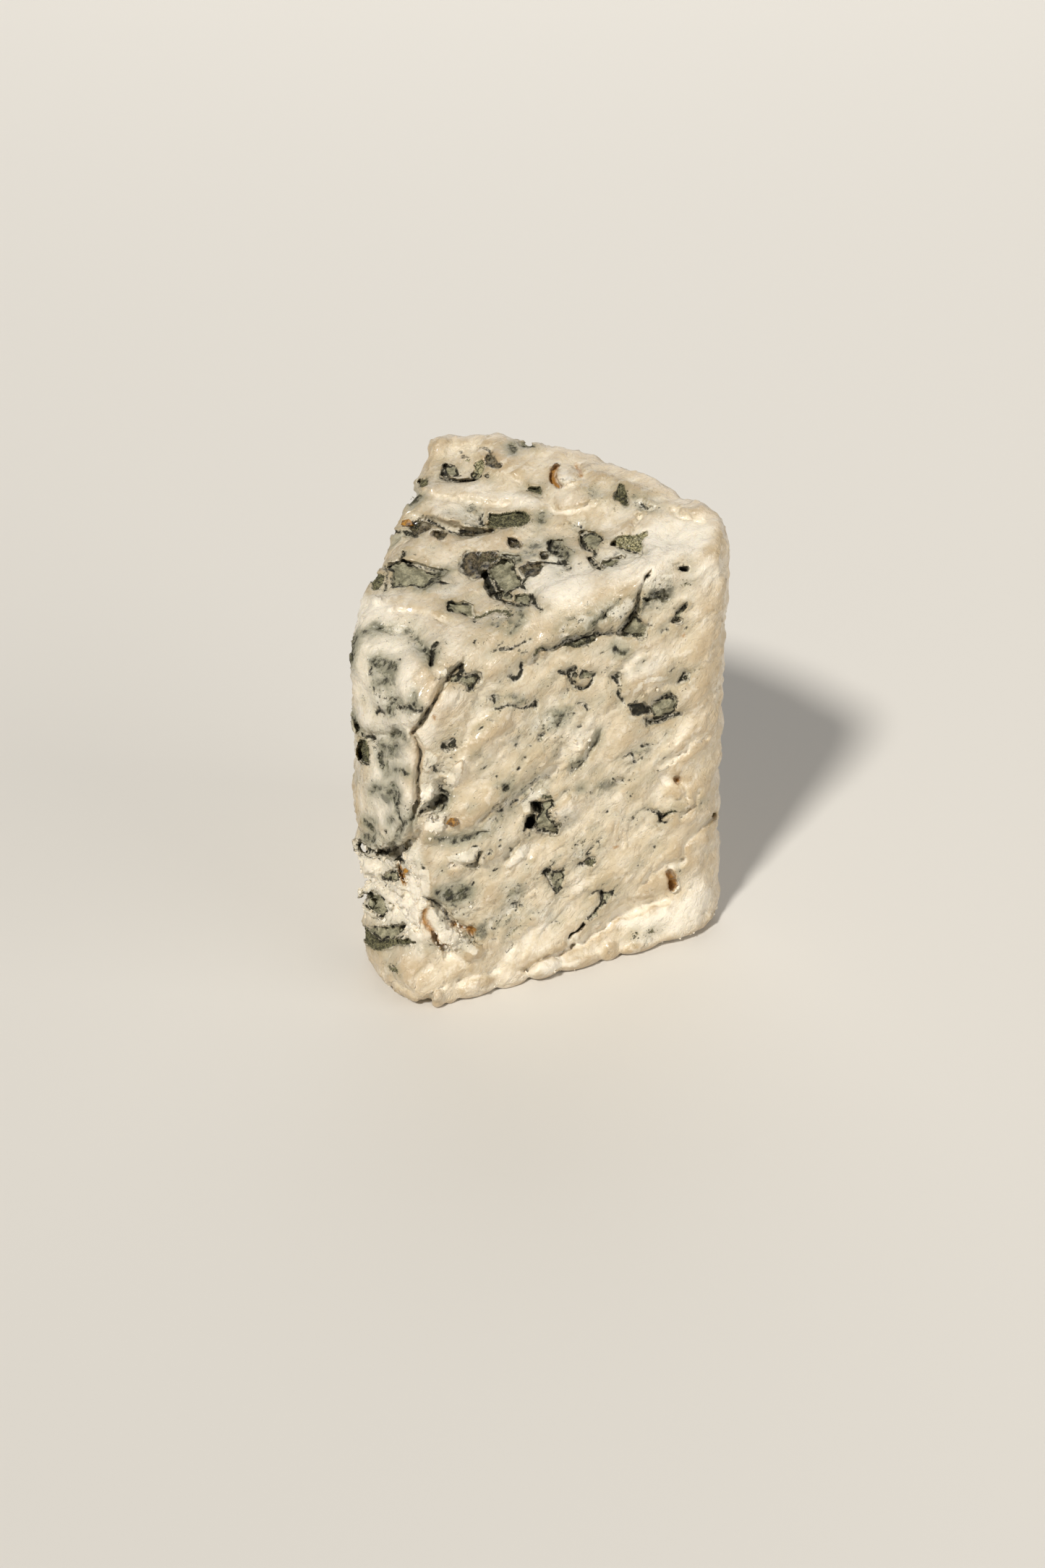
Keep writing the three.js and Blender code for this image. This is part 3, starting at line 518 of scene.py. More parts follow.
        ("black", 0.9, 1.6, [(28.5, 49.6), (29.7, 50.5), (29.9, 52.2), (29.5, 53.6)]),
        ("black", 0.45, 0.5, [(29.8, 50.2), (31.2, 51.8), (31.4, 50.4), (30.4, 48.2)]),
        ("black", 0.4, 0.4, [(29, 49), (30.4, 47.4)]),
        ("stain", 0, 0, [(28, 49.6), (31, 52), (31.8, 50), (31, 47.4), (29.4, 47.8)]),
        # Smears and specks across the lower half.
        ("stain", 0, 0.2, [(27.4, 41.6), (31, 41), (34, 40.4), (38, 40.5), (40.4, 40), (38.4, 39),
          (34, 38.8), (30.6, 39.8)]),
        ("black", 0.45, 0.4, [(32, 40), (33, 39.7)]),
        ("black", 0.45, 0.4, [(36, 39.9), (38.6, 40.1), (40, 39.8)]),
        ("black", 0.4, 0.3, [(34, 39.4), (36, 39.2)]), ("black", 0.3, 0.3, [(41.2, 45), (44.7, 46.7)]),
        ("black", 0.3, 0.3, [(48.1, 47.9), (51.6, 49.6)]), ("black", 0.6, 0.5, [(42.6, 44), (43.8, 44.2)]),
        ("black", 0.5, 0.4, [(45, 45), (45.6, 45.1)]),
        ("stain", 0, 0, [(43.2, 50.2), (45.8, 50.4), (45.7, 48.1), (43.4, 48.2)]),
        ("black", 1.1, 0.6, [(44, 48.6), (44.6, 49)]), ("black", 0.45, 0.4, [(45.2, 50.5), (47, 50.6)]),
        ("black", 0.5, 0.3, [(42.4, 52.4), (42.4, 51.4)]),
        ("black", 0.5, 0.9, [(38.4, 35.7), (37.7, 33.6)]), ("black", 0.35, 0.5, [(35.4, 33), (37.2, 33.1)]),
        ("black", 1, 0.5, [(40.7, 34.9), (41, 35.1)]), ("black", 0.7, 0.5, [(42.9, 35.7), (43.1, 35.9)]),
        ("black", 0.7, 0.4, [(39.4, 33.8), (39.6, 34)]), ("black", 0.4, 0.4, [(42.8, 36.9), (43.8, 37.1)]),
        ("black", 0.6, 0.5, [(45.1, 34), (45.6, 34.6)]), ("black", 0.7, 0.4, [(24.9, 36.7), (25.9, 35.1)]),
        ("black", 0.4, 0.3, [(31.4, 28.9), (33, 28.9)]), ("black", 0.4, 0.3, [(33.4, 28.7), (35, 28.6)]),
        ("black", 0.7, 0.5, [(31, 25.7), (31.4, 25.8)]), ("black", 0.4, 0.5, [(27, 25.4), (29.1, 24.8)]),
        ("black", 0.35, 0.4, [(30.2, 24.6), (33.8, 23.6), (34.8, 23.8)]),
        ("black", 0.3, 0.3, [(32.4, 22.3), (36.3, 20.5)]),
        ("black", 0.7, 0.4, [(29.7, 21.4), (30.1, 21.4)]),
        ("stain", 0, 0, [(28, 29), (34, 29), (37, 27), (36, 25), (32, 24.4), (29, 26.4)]),
        ("grey", 4, 0, [(30, 27), (36, 25.8)]), ("stain", 1, 0, [(46.6, 23.4), (47.4, 23.4)]),
        ("black", 1, 0.6, [(45.6, 20.7), (46.6, 20.8)]), ("black", 0.45, 0.4, [(46.8, 20), (46.8, 19.2)]),
        ("brown", 0.5, 0.3, [(50.8, 23), (51.6, 22.6)]), ("black", 0.6, 0.4, [(50.1, 17.4), (50.5, 17.4)]),
        ("black", 0.6, 0.4, [(51.5, 17.5), (51.8, 17.5)]),
        ("olive", 0.5, 0.5, [(47.2, 14.8), (46, 13.9), (45, 13.4), (44.9, 12.6)]),
        ("brown", 0.35, 0.4, [(39.9, 13.4), (41, 13.5), (42, 13.1)]),
        ("brown", 0.6, 0.8, [(44.4, 9.3), (45.4, 9.8), (45.9, 10.9)]),
        ("black", 0.35, 0.4, [(26.6, 15.7), (27.9, 15.3)]),
        # Small pockets below the hole.
        ("slate", 0, 0.5, [(53.6, 27.2), (54.6, 24.8), (55.4, 22.4), (55.8, 20.4), (57.2, 21.2),
          (57.8, 23.2), (58, 25.6), (56.8, 26), (55.2, 26.4)]),
        ("black", 0.9, 0.8, [(53.2, 26.4), (53.7, 27.2), (54.4, 26.8)]),
        ("black", 0.4, 0.5, [(51.4, 25.8), (53.2, 26.4)]),
        ("black", 0.5, 0.6, [(53.6, 26), (54.4, 23.8), (55.4, 22.4)]),
        ("black", 0.35, 0.4, [(56, 28.8), (55, 27.6)]), ("black", 0.6, 0.5, [(56.4, 26.8), (58.2, 26.2)]),
        ("black", 0.6, 0.7, [(60.8, 26.4), (62.4, 26.5), (63.6, 27.2), (64.4, 26.8)]),
        ("black", 0.8, 0.6, [(63.2, 28.4), (63.8, 28.3)]),
        ("black", 0.6, 0.6, [(63.8, 29.6), (65.6, 30.6), (66.8, 31.8)]),
        ("olive", 0, 0.4, [(62.4, 26.6), (65.2, 27), (65.4, 25.6), (64, 25), (62.6, 26)]),
        ("black", 0.35, 0.4, [(61.2, 26.4), (63, 25)]),
        ("grey", 0, 0, [(60, 30), (62.6, 30), (62.8, 27.6), (60.2, 27.4)]),
        # Low, towards the rind.
        ("black", 0.6, 0.5, [(77.4, 35.6), (79.6, 34.4)]),
        ("black", 1.1, 0.9, [(80.2, 33.8), (80.9, 32.8)]),
        ("black", 0.45, 0.5, [(80.8, 32.6), (80.6, 31.6)]),
        ("olive", 0.8, 0.4, [(81, 33.2), (82.8, 33.4), (84.4, 33.6), (85.4, 33.1)]),
        ("black", 0.45, 0.4, [(81.2, 33.3), (84.4, 33.6)]), ("black", 0.35, 0.3, [(80, 32), (81.6, 31.6)]),
        # The vein that runs down to the foot.
        ("black", 0.5, 0.7, [(64, 18.1), (65.6, 18.6), (66.8, 18)]),
        ("black", 0.9, 1.4, [(66.8, 18), (67, 16.8), (66.6, 15.2), (65.2, 13.6)]),
        ("black", 0.6, 1, [(65.2, 13.6), (63.4, 12.2)]),
        ("brown", 0, 2.2, [(59.6, 9.4), (61.6, 10.8), (62.6, 11.8), (63.4, 11), (62.4, 10.1), (60.2, 9)]),
        ("brown", 0.5, 0.8, [(59.6, 9.2), (59, 8.6)]),
        ("black", 0.45, 0.5, [(66.8, 18), (68, 17.6), (70, 18.1)]),
        ("slate", 0, 0.6, [(67, 17.6), (70, 17.6), (69, 15.8), (67.6, 14.6), (66.4, 13.4), (66, 14.4),
          (66.8, 15.8)]),
        ("slate", 0, 0.4, [(63.4, 12.6), (65.6, 13.6), (66, 12.6), (64.2, 11.6)]),
        ("olive", 0.9, 0.4, [(75, 4.2), (75.6, 5.4)]), ("olive", 0.9, 0.4, [(78, 4.4), (79.4, 4.9)]),
        # The thin crease across the middle.
        ("stain", 0.5, 0.5, [(65.4, 56.8), (65.3, 55.2), (64.5, 54.4)]),
        ("black", 0.3, 0.4, [(64.5, 54.4), (63.5, 52.9), (62.4, 51.4), (61.4, 50), (59.7, 49.1)]),
        ("black", 0.35, 0.4, [(59.6, 51.8), (59.5, 49.2)]), ("stain", 1, 0, [(60, 50.9), (61.6, 51)]),
        ("black", 0.8, 0.6, [(73, 50.2), (73.6, 50.1)]), ("black", 0.35, 0.4, [(73.9, 49.6), (74, 48.2)]),
        ("black", 0.45, 0.4, [(73.2, 48), (74.7, 47.9)]), ("black", 0.8, 0.5, [(75.7, 51.2), (76.8, 51.5)]),
        ("black", 0.4, 0.4, [(77.4, 51.2), (78.2, 51.1)]), ("grey", 2.6, 0, [(74, 49.2), (76, 50)]),
        ("black", 0.4, 0.5, [(68.9, 45), (70.5, 44.3), (71.2, 44)]),
        ("black", 0.8, 0.5, [(70.9, 44.1), (71.2, 44)]),
        ("grey", 0, 0, [(64, 44.8), (69, 44.6), (70, 43.4), (65, 42.6)]),
        ("stain", 0.8, 0.4, [(61.2, 44.9), (61.9, 44.7)]), ("black", 0.45, 0.3, [(58, 44.8), (59, 44.7)]),
        ("black", 0.8, 0.4, [(67.7, 37.5), (67.9, 37.5)]),
        # Dried cavities, and the torn corner by the nose.
        ("amber", 1.2, 1.5, [(84.1, 41), (84.5, 40.6)]),
        ("amber", 0, 1.9, [(82, 18.9), (83.4, 19), (84.6, 17.1), (85, 14.8), (84, 13.6), (83, 14.6),
          (82.8, 16.6)]),
        ("brown", 0.5, 0.4, [(87, 10.4), (87.8, 10.2)]), ("amber", 0.7, 0.5, [(84.8, 75), (85.1, 74.9)]),
        ("amber", 0.8, 0.5, [(28.6, 69.3), (28.8, 69)]), ("amber", 0.5, 0.3, [(69.6, 28.2), (71.2, 28.4)]),
        ("brown", 0.7, 1.8, [(25.6, 28), (27.4, 26.8), (28.8, 25.4), (29.1, 24.3), (30.6, 22.5),
          (31.6, 20.7), (32.2, 19.6)]),
        ("black", 0.7, 1.4, [(27.4, 26.8), (28.8, 25.4), (29.1, 24.3)]),
        ("amber", 0.8, 1.6, [(32.2, 19.6), (33.8, 18.6), (35.6, 17.1), (36.6, 16)]),
        ("brown", 0.5, 1, [(36.5, 15.9), (37, 15), (36.1, 13.9)]),
        ("amber", 1.2, 0.1, [(35.8, 17.6), (36.8, 16.8)]),
        ("amber", 0.7, 1.6, [(25.9, 24.8), (25.5, 22.9), (26.6, 20.7), (27.9, 18.2)]),
        ("amber", 1, 2.2, [(27.9, 18.2), (28.8, 16.1), (29.7, 15.2)]),
        ("brown", 0.4, 0.6, [(30.2, 14.6), (31.3, 13.2), (31.5, 12.3)]),
        ("grey", 4, 0, [(40, 40), (47, 46), (52, 48)]),
        ("grey", 5, 0, [(58, 82), (66, 83.6), (76, 84.4), (80, 86)]), ("grey", 4, 0, [(52, 62), (58, 63)]),
        ("grey", 3.4, 0, [(36, 15), (46, 19), (46, 24)]),
        ("white", 0, 0, [(49.8, 46.4), (52.7, 47.4), (54.3, 46.6), (53.9, 44.5), (51, 44.8), (50.2, 42),
          (48.2, 41.7), (47.7, 44)]),
        ("white", 2.2, 0, [(25.7, 34), (26.2, 30), (25.4, 26)]),
        ("white", 1.2, 0, [(52, 14), (53.4, 16.6)]),
        ("white", 1.6, 0, [(77, 87.6), (79.4, 89.4), (81.4, 89.2)]),
        ("white", 1.4, 0, [(73.4, 64.4), (76.4, 66.4), (81, 66)]),
    ],
    TOP: [
        # The wide pocket by the left cut.
        ("slate", 0, 1.4, [(-19.6, 48.4), (-17.4, 51.1), (-12, 51.4), (-8.6, 51), (-7.6, 46.6), (-11, 45),
          (-13.4, 42.8), (-14.8, 44.6), (-16.8, 47.2)]),
        ("stain", 0, 1.4, [(-10, 51), (-8, 53.8), (-6.6, 54), (-6.5, 51), (-5.9, 48), (-6.6, 45.8),
          (-9, 45.2), (-9.4, 47)]),
        ("black", 0.6, 0.8, [(-20, 48.4), (-17.6, 46.6), (-15.8, 44.4), (-14.2, 41.6)]),
        ("black", 0.5, 1.2, [(-17.4, 51.4), (-13, 51.8), (-9.6, 52)]),
        ("black", 0.6, 0.6, [(-13.4, 44.9), (-11.4, 44.4)]), ("black", 1, 0.9, [(-6.2, 49.4), (-4, 49.8)]),
        ("black", 0.8, 0.9, [(-19, 53.8), (-18.2, 52)]),
        ("olive", 0, 0.4, [(-20, 45.2), (-17, 45.2), (-15.8, 43), (-15.2, 40.6), (-17, 40.4),
          (-18.6, 42.6)]),
        # The brown and the grey pocket in the middle, and the vein under them.
        ("brown", 0, 0.6, [(-8, 60.4), (-6, 61.6), (-3.8, 63.4), (-2, 63.6), (-0.4, 62.4), (0, 59.5),
          (0.4, 56.6), (0.6, 54.6), (-1.4, 54), (-3.4, 54.4), (-6, 56), (-7.2, 58)]),
        ("black", 0.6, 1, [(-7.8, 60), (-6.6, 57), (-4, 54.6), (-1, 54.2)]),
        ("black", 0.6, 0.7, [(-5, 60.4), (-3, 57.6), (-0.6, 56)]),
        ("slate", 0, 1.3, [(-0.2, 62), (1, 62.6), (2.6, 62.6), (4, 61.4), (5.6, 59.8), (7.4, 58.6),
          (9.4, 57), (9.6, 54.8), (8.6, 53.6), (5.6, 53.6), (4.4, 54.8), (1.6, 56.2), (0, 58)]),
        ("stain", 1.4, 0.5, [(0, 63), (2.4, 63.6), (4, 62.8)]),
        ("brown", 0, 0.9, [(5.4, 60.8), (6, 63.6), (8, 64.6), (10, 63.8), (10.6, 60), (8.6, 59.6),
          (7.2, 59.4)]),
        ("black", 0.8, 0.8, [(8.6, 59.6), (9.6, 57), (10.6, 55.6), (12.6, 55)]),
        ("black", 1.5, 3, [(0.2, 56.6), (2, 55.2), (4, 53.4), (7, 51.6)]),
        ("black", 0.9, 2, [(7, 51.6), (9.6, 50.5), (12, 50.5), (15, 51)]),
        ("slate", 0, 1, [(5.2, 52.9), (8, 53.5), (10.2, 53.2), (11.4, 51.4), (9.4, 51.2)]),
        ("slate", 0, 1, [(10.8, 53.4), (12.4, 54.6), (14.2, 54.4), (16.2, 51.4), (14, 51.3), (11.8, 51.4)]),
        ("black", 0.8, 0.9, [(14.2, 54.6), (16.4, 52.6), (19.4, 50.9)]),
        # Towards the nose.
        ("slate", 0, 0.9, [(-0.4, 45.6), (2, 45.6), (2.6, 46.8), (5, 46.8), (6, 45.6), (7.6, 43.8),
          (6.4, 42.9), (4.6, 43.5), (2, 42.5), (0.6, 43.6)]),
        ("olive", 0.9, 0.7, [(7.4, 43.5), (9.4, 44.7), (9.9, 46.3), (10.8, 47.6), (12.9, 47.7),
          (14.9, 46.9)]),
        ("black", 0.6, 0.6, [(7.4, 43.9), (8.6, 43), (9.7, 42.1)]),
        ("stain", 1, 0.3, [(14.4, 50), (17.1, 47.6), (18.5, 44.3), (18.7, 42.2)]),
        ("grey", 0, 0, [(10.6, 44.2), (12, 46.6), (14.1, 46.3), (17.2, 45.2), (18.1, 42.7), (13.9, 41.4)]),
        ("black", 0.8, 0.5, [(13.6, 37.6), (14.2, 36.4)]), ("black", 1, 0.6, [(20, 36.8), (22, 37.8)]),
        ("black", 1.1, 0.8, [(7.2, 33), (8, 30.5), (9.6, 28.6), (10.8, 27)]),
        ("stain", 1.6, 0.3, [(5.8, 30.6), (8, 29.6)]), ("stain", 2.2, 0.3, [(-10, 27.4), (-8.6, 25)]),
        ("grey", 3, 0, [(-7.4, 31.4), (0, 33.6), (5, 31)]),
        # The fold across the top.
        ("brown", 0, 0.9, [(-24.8, 60.8), (-24, 64), (-20.6, 64.6), (-19.4, 62.6), (-20.6, 60.6),
          (-20.4, 59)]),
        ("brown", 0, 0.7, [(-18.8, 62.8), (-16, 64), (-14.4, 61.4), (-15.4, 60.8), (-17.6, 60.8)]),
        ("black", 0.8, 0.8, [(-22.4, 65), (-17, 64.7), (-13, 64.8), (-11, 65.8)]),
        ("black", 1.3, 0.4, [(-26.4, 57.8), (-24, 58.9), (-20.6, 59.2)]),
        ("brown", 1.7, 0.6, [(-13.6, 65.8), (-11, 66.4)]),
        ("black", 0.6, 1.4, [(-11, 67.2), (-9, 69), (-6, 70.8)]),
        ("olive", 0, 1.1, [(-12.6, 73.6), (-10.6, 74), (-9.6, 76), (-6.6, 78), (-4.6, 77), (-3, 75.4),
          (-3.4, 73), (-6, 71.4), (-8.6, 69.6), (-10, 69.4), (-11, 71.4)]),
        ("black", 0.9, 0.9, [(-14.2, 72.7), (-12.6, 70.8), (-11, 69.3)]),
        ("grey", 3.6, 0, [(-17, 71.8), (-13, 69), (-10.6, 67.6)]),
        ("stain", 1.4, 0.2, [(-2.6, 78.4), (-1, 76.6)]),
        ("brown", 0, 1.5, [(-4, 68.6), (-1.6, 69.2), (1, 68), (0.8, 66.8), (-1, 66.2), (-2.6, 66.8)]),
        # The arches at the left, and the amber ones at the back.
        ("olive", 0, 0.9, [(-34, 75.4), (-32, 76), (-30.4, 74.6), (-30.6, 73), (-32, 73)]),
        ("stain", 0, 0.5, [(-31.6, 71), (-28, 70.4), (-28, 66), (-29.8, 67)]),
        ("brown", 0.7, 0.6, [(-31, 90.4), (-28.6, 91.4), (-26, 90.6), (-25.2, 89)]),
        ("brown", 2.2, 0.8, [(-25.2, 89.2), (-23.6, 87.4), (-21.6, 87.4)]),
        ("gold", 2.2, 0.6, [(-26, 86.6), (-24.6, 85.2), (-23.8, 83.4)]),
        ("brown", 0.6, 0.4, [(-32.4, 88), (-30.8, 86.2), (-29.6, 87)]), ("gold", 1.2, 0.5, [(-29, 86)]),
        ("slate", 0, 0.8, [(-32.6, 82.4), (-30, 82.8), (-27, 80.8), (-28.4, 79.4), (-30.8, 80.4)]),
        ("black", 1, 1.6, [(-32.2, 82), (-30.8, 80.2), (-28.6, 78.8), (-26.4, 79), (-24.6, 80.6),
          (-22.6, 81.4)]),
        ("slate", 1.5, 0.5, [(-24.4, 82.6), (-23, 82.2)]), ("black", 1.3, 0.7, [(-21.4, 83.5)]),
        ("black", 0.5, 0.4, [(-31, 79.2), (-29.8, 77.8), (-27.8, 78)]),
        ("slate", 0, 0.9, [(-23.8, 97), (-21.6, 98.6), (-20, 98), (-18.6, 97), (-20.4, 96.4), (-22, 95.8)]),
        ("stain", 1.6, 0.3, [(-24, 95.2), (-22.2, 93.4)]),
        ("amber", 1.2, 1.6, [(-10.8, 93.8), (-9.6, 91), (-8, 89.4), (-5.8, 88)]),
        ("brown", 0.8, 1.2, [(-9.4, 90), (-7.6, 88.6), (-5.6, 88)]), ("brown", 0.8, 0.8, [(-6.3, 90.2)]),
        ("amber", 0.7, 0.8, [(-7.4, 96.6), (-5.4, 94.8), (-3.6, 93)]),
        # Towards the rind and the right cut.
        ("olive", 0, 0.7, [(-11.4, 85.2), (-9, 86.4), (-7.8, 85.4), (-7, 83.8), (-9.4, 84), (-10.6, 83.8)]),
        ("grey", 1.6, 0, [(1.6, 90), (4.4, 89)]),
        ("olive", 0, 0.9, [(5.4, 94.8), (6.6, 95), (9, 92.4), (10.6, 90.8), (12.4, 89.4), (11.6, 88.6),
          (9.6, 89.6), (8, 89.6), (6.6, 92)]),
        ("black", 0.6, 0.9, [(7.2, 91.4), (9.8, 90.8), (11, 90)]),
        ("black", 0.8, 0.7, [(14, 90.8), (16.2, 89.8), (17.2, 91.2)]),
        ("grey", 3.4, 0, [(12.4, 92), (16.6, 90.6)]),
        ("gold", 0, 1.2, [(17, 79.4), (18.4, 80.6), (20.4, 81.2), (21, 83.4), (22, 82.6), (23, 80),
          (24.6, 77.6), (25, 76.4), (20, 76.3), (17.2, 77)]),
        ("black", 0.6, 1.2, [(17.4, 76.8), (20, 76.2), (25.4, 76.1)]),
        ("slate", 0, 1, [(9.6, 77.6), (11.4, 78.6), (14, 78), (15.2, 77), (15.6, 74.4), (16.4, 73),
          (13.4, 73.4), (11.6, 74), (10.4, 75.6)]),
        ("black", 0.7, 1, [(5.6, 78.6), (7, 79.3), (9.2, 77.4), (10.6, 75.2), (13, 73), (16, 72.6),
          (17.6, 71.4)]),
        ("slate", 0, 0.9, [(19.4, 69.8), (21, 71.6), (22.2, 73.4), (22.8, 71), (22.6, 68.8)]),
        ("black", 1.1, 1.8, [(16.4, 70.4), (19, 69.1), (21.8, 67.8)]),
        ("black", 0.6, 0.6, [(22.6, 74.2), (21.4, 72.6)]),
        ("black", 1.1, 0.9, [(5, 71.8), (6.8, 69.6), (8, 68.8), (10.6, 68.2), (13, 66.4), (15, 65.6)]),
        ("stain", 0, 0.6, [(4.8, 72), (7, 73.2), (9, 71), (12, 70.6), (13, 67.4), (9.4, 69), (6.6, 70)]),
        ("brown", 2, 0.6, [(7.2, 67.2), (7.8, 66.6)]), ("black", 0.7, 0.6, [(8.6, 64.8), (12, 66.2)]),
        ("grey", 4, 0, [(3.4, 70), (4, 67.4), (10, 67.4)]),
    ],
    NOSE: [
        # The loose block.
        ("stain", 0, 0.4, [(-1.1, 71.5), (-0.2, 76.1), (1.6, 79.2), (4.5, 80.4), (4.2, 77.4), (3.2, 75.2),
          (3.2, 72.6), (1.4, 71.4)]),
        ("black", 0.8, 0.6, [(1.8, 75), (2.4, 73)]),
        ("stain", 0.6, 0, [(4, 80), (7, 81.6), (10, 83.3), (12, 84.6)]),
        ("olive", 0.9, 0.3, [(11.6, 84.5), (13.6, 85.2)]),
        ("stain", 1.8, 0.4, [(9.4, 75.8), (11, 76.4), (13.4, 77.4)]),
        ("stain", 0, 0.5, [(9.6, 76.7), (12.5, 78.4), (17.4, 79.8), (18.4, 78.6), (16, 76.3), (12.6, 75.2),
          (9.7, 75.2)]),
        ("black", 0.5, 0.5, [(9.5, 74.4), (9.8, 70.4), (11.2, 66.9), (12.2, 65.7)]),
        ("stain", 1, 0.4, [(15.6, 67.2), (17, 69.9), (19.9, 71.8)]),
        ("stain", 0, 0.4, [(21.4, 70.9), (24.7, 74.4), (26, 73.4), (23.4, 70.8), (20.8, 69.8)]),
        ("grey", 0, 0, [(9, 75.5), (17.5, 77), (18.4, 71.6), (15.8, 66.8), (12, 66), (9, 69.5)]),
        ("stain", 1.6, 0.3, [(11, 72.2), (13.4, 73), (15, 74.4)]),
        ("black", 0.7, 0.7, [(9.4, 74.6), (8.5, 73)]),
        ("black", 0.9, 0.7, [(10.2, 64.6), (11.6, 65.6), (13.4, 66.2)]),
        ("black", 0.7, 0.6, [(15.6, 66.8), (16, 69), (17, 70.4), (18.4, 71.4)]),
        ("black", 0.6, 0.4, [(16, 66.9), (17.6, 67.5)]), ("black", 0.6, 0.4, [(18, 80.1), (19.4, 80.9)]),
        ("black", 0.8, 0.9, [(19, 69.6), (22.4, 71.4), (25, 71.2), (27, 73)]),
        ("stain", 1.4, 0.5, [(23.4, 72.4), (24.6, 74.8)]),
        # The pillar under it.
        ("black", 0.9, 0.9, [(4.8, 57.3), (7, 57.8), (10, 59)]),
        ("stain", 1.4, 0.3, [(13.6, 58.2), (16, 59), (18.4, 60.6)]),
        ("stain", 1.5, 0.6, [(16, 61.8), (17.4, 63.4), (20.4, 64)]),
        ("grey", 0, 0, [(9, 59), (14.5, 62), (16, 61), (19, 60.6), (14, 57), (10.4, 56.6)]),
        ("stain", 2, 0.5, [(1.4, 60), (3, 58.3)]),
        ("olive", 0, 1.2, [(2.6, 52.2), (3.2, 54), (3.8, 55.8), (6, 56.9), (7.5, 55.6), (7.7, 53.6),
          (7.1, 51.5), (4.9, 51.2), (3.1, 51.4)]),
        ("black", 0.8, 0.5, [(3.4, 51.6), (5, 51), (7.2, 51.2)]),
        ("stain", 1.4, 0.4, [(16.2, 62), (18.5, 63.4), (20.6, 63.8)]),
        ("stain", 1, 0.3, [(17.6, 60.4), (15.4, 58.8), (13.4, 57)]),
        ("stain", 1.8, 0.3, [(13, 57.6), (12.2, 56), (11.7, 54.6), (12.4, 53.4)]),
        ("stain", 0.9, 0.3, [(13.2, 51.7), (15.3, 53.4), (17.7, 54.8), (21.9, 56.2)]),
        ("black", 1.2, 0.5, [(19.8, 55.4), (20.8, 55.6)]),
        ("stain", 1, 0.3, [(7.6, 45.2), (10, 47.1), (12.5, 48.5), (14.7, 50), (16.3, 51)]),
        ("stain", 1.6, 0.3, [(16.2, 50.8), (17.5, 50.2), (18.3, 49.7)]),
        ("stain", 2.2, 0.3, [(14.3, 48), (16.2, 48.4), (18, 48.6)]),
        ("stain", 1.5, 0.4, [(15.6, 47.9), (16.6, 47.1), (17.4, 46.2), (18.1, 44.5), (19.1, 43.5)]),
        ("black", 0.45, 0.3, [(17.4, 46.2), (18.1, 44.5), (19.1, 43.5)]),
        ("stain", 1.1, 0.4, [(23.1, 46.2), (21.2, 44.5), (19.3, 42.7), (17.9, 40.3), (16.8, 38.2),
          (15.4, 36.5), (14.8, 34.5)]),
        ("black", 0.4, 0.3, [(22, 45.2), (19.3, 42.7), (17.9, 40.3)]),
        ("stain", 2.2, 0.2, [(5.4, 36.8), (8.2, 36.2)]), ("stain", 0.8, 0.2, [(7.3, 38.5), (9.1, 38.7)]),
        ("black", 1.1, 0.5, [(13.1, 38.6), (13.3, 38.3)]), ("stain", 0.7, 0.2, [(14, 41), (15.9, 42.8)]),
        ("stain", 1.5, 0.2, [(4.3, 32.4), (6.5, 33.6), (8.7, 33.9)]),
        # The crack under the pillar, and the torn nose.
        ("black", 0.9, 0.6, [(2.5, 29.9), (4.7, 30.2), (6.9, 30.4), (9.3, 31.1), (12.1, 32.6), (14.5, 34.4),
          (16.5, 35.8)]),
        ("grey", 0, 0, [(18.4, 46.4), (22.6, 48.5), (23.3, 46.9), (20.4, 44.4), (18.6, 44.2)]),
        ("grey", 0, 0, [(8, 60), (14, 62), (19, 60), (17, 56), (12, 52), (9, 55)]),
        ("grey", 0, 0, [(8, 34), (9, 37), (13, 37), (15, 34), (11, 32)]),
        ("grey", 2.6, 0, [(9, 47), (13, 46), (17, 49)]),
        ("brown", 0.6, 0.9, [(2.6, 29.5), (5, 29.9), (9.6, 31.6), (14, 33.6), (16, 35)]),
        ("black", 0.9, 1.4, [(15.6, 34.6), (19.6, 37.6), (21.2, 39.4)]),
        ("black", 1.6, 0.9, [(2, 29.4), (5.6, 29.6)]), ("amber", 2.2, 2.6, [(17.6, 31.6), (18.4, 29.2)]),
        ("black", 1.6, 1.6, [(15.4, 33.2), (18.4, 33.8)]),
        ("slate", 0, 1, [(10.4, 25.2), (12, 27.2), (15, 29.6), (16.8, 30), (17, 28.2), (14, 26.3)]),
        ("black", 0.7, 0.7, [(10.4, 25.4), (13, 25.9)]),
        ("slate", 0, 1.5, [(1.4, 15.4), (3, 17.6), (6, 19.5), (11, 21), (12, 18.6), (11.6, 16.6),
          (10, 15.3), (5, 15.2)]),
        ("black", 0.6, 1.4, [(6.4, 19.4), (6.6, 17.2)]),
        ("slate", 0, 1.1, [(1.4, 9.4), (4, 10.2), (10, 13.2), (14, 15.6), (17.2, 17), (18.6, 18),
          (18.4, 15.8), (14, 12.2), (10, 10.2)]),
        ("olive", 0, 1, [(1.4, 9.2), (10, 10), (15, 12.8), (19, 15.2), (23, 16.4), (20, 14), (15, 11.2),
          (13, 9.4), (9, 7), (4, 5.6), (2, 6.6)]),
        ("black", 0.8, 1, [(3.4, 8.8), (7, 9), (10, 9.8), (12.6, 11)]),
        ("black", 0.9, 1, [(17.4, 16), (18.6, 17.6)]), ("olive", 1.2, 0.2, [(13.4, 5.2), (16, 5.8)]),
    ],
}
MOULD = [(face, *mark) for face, marks in MARKS.items() for mark in marks]
MOULD += [(face, "white", 0, 0, points) for face, thickness, _, points in FLAKES
          if thickness >= 1 and face is RIGHT]
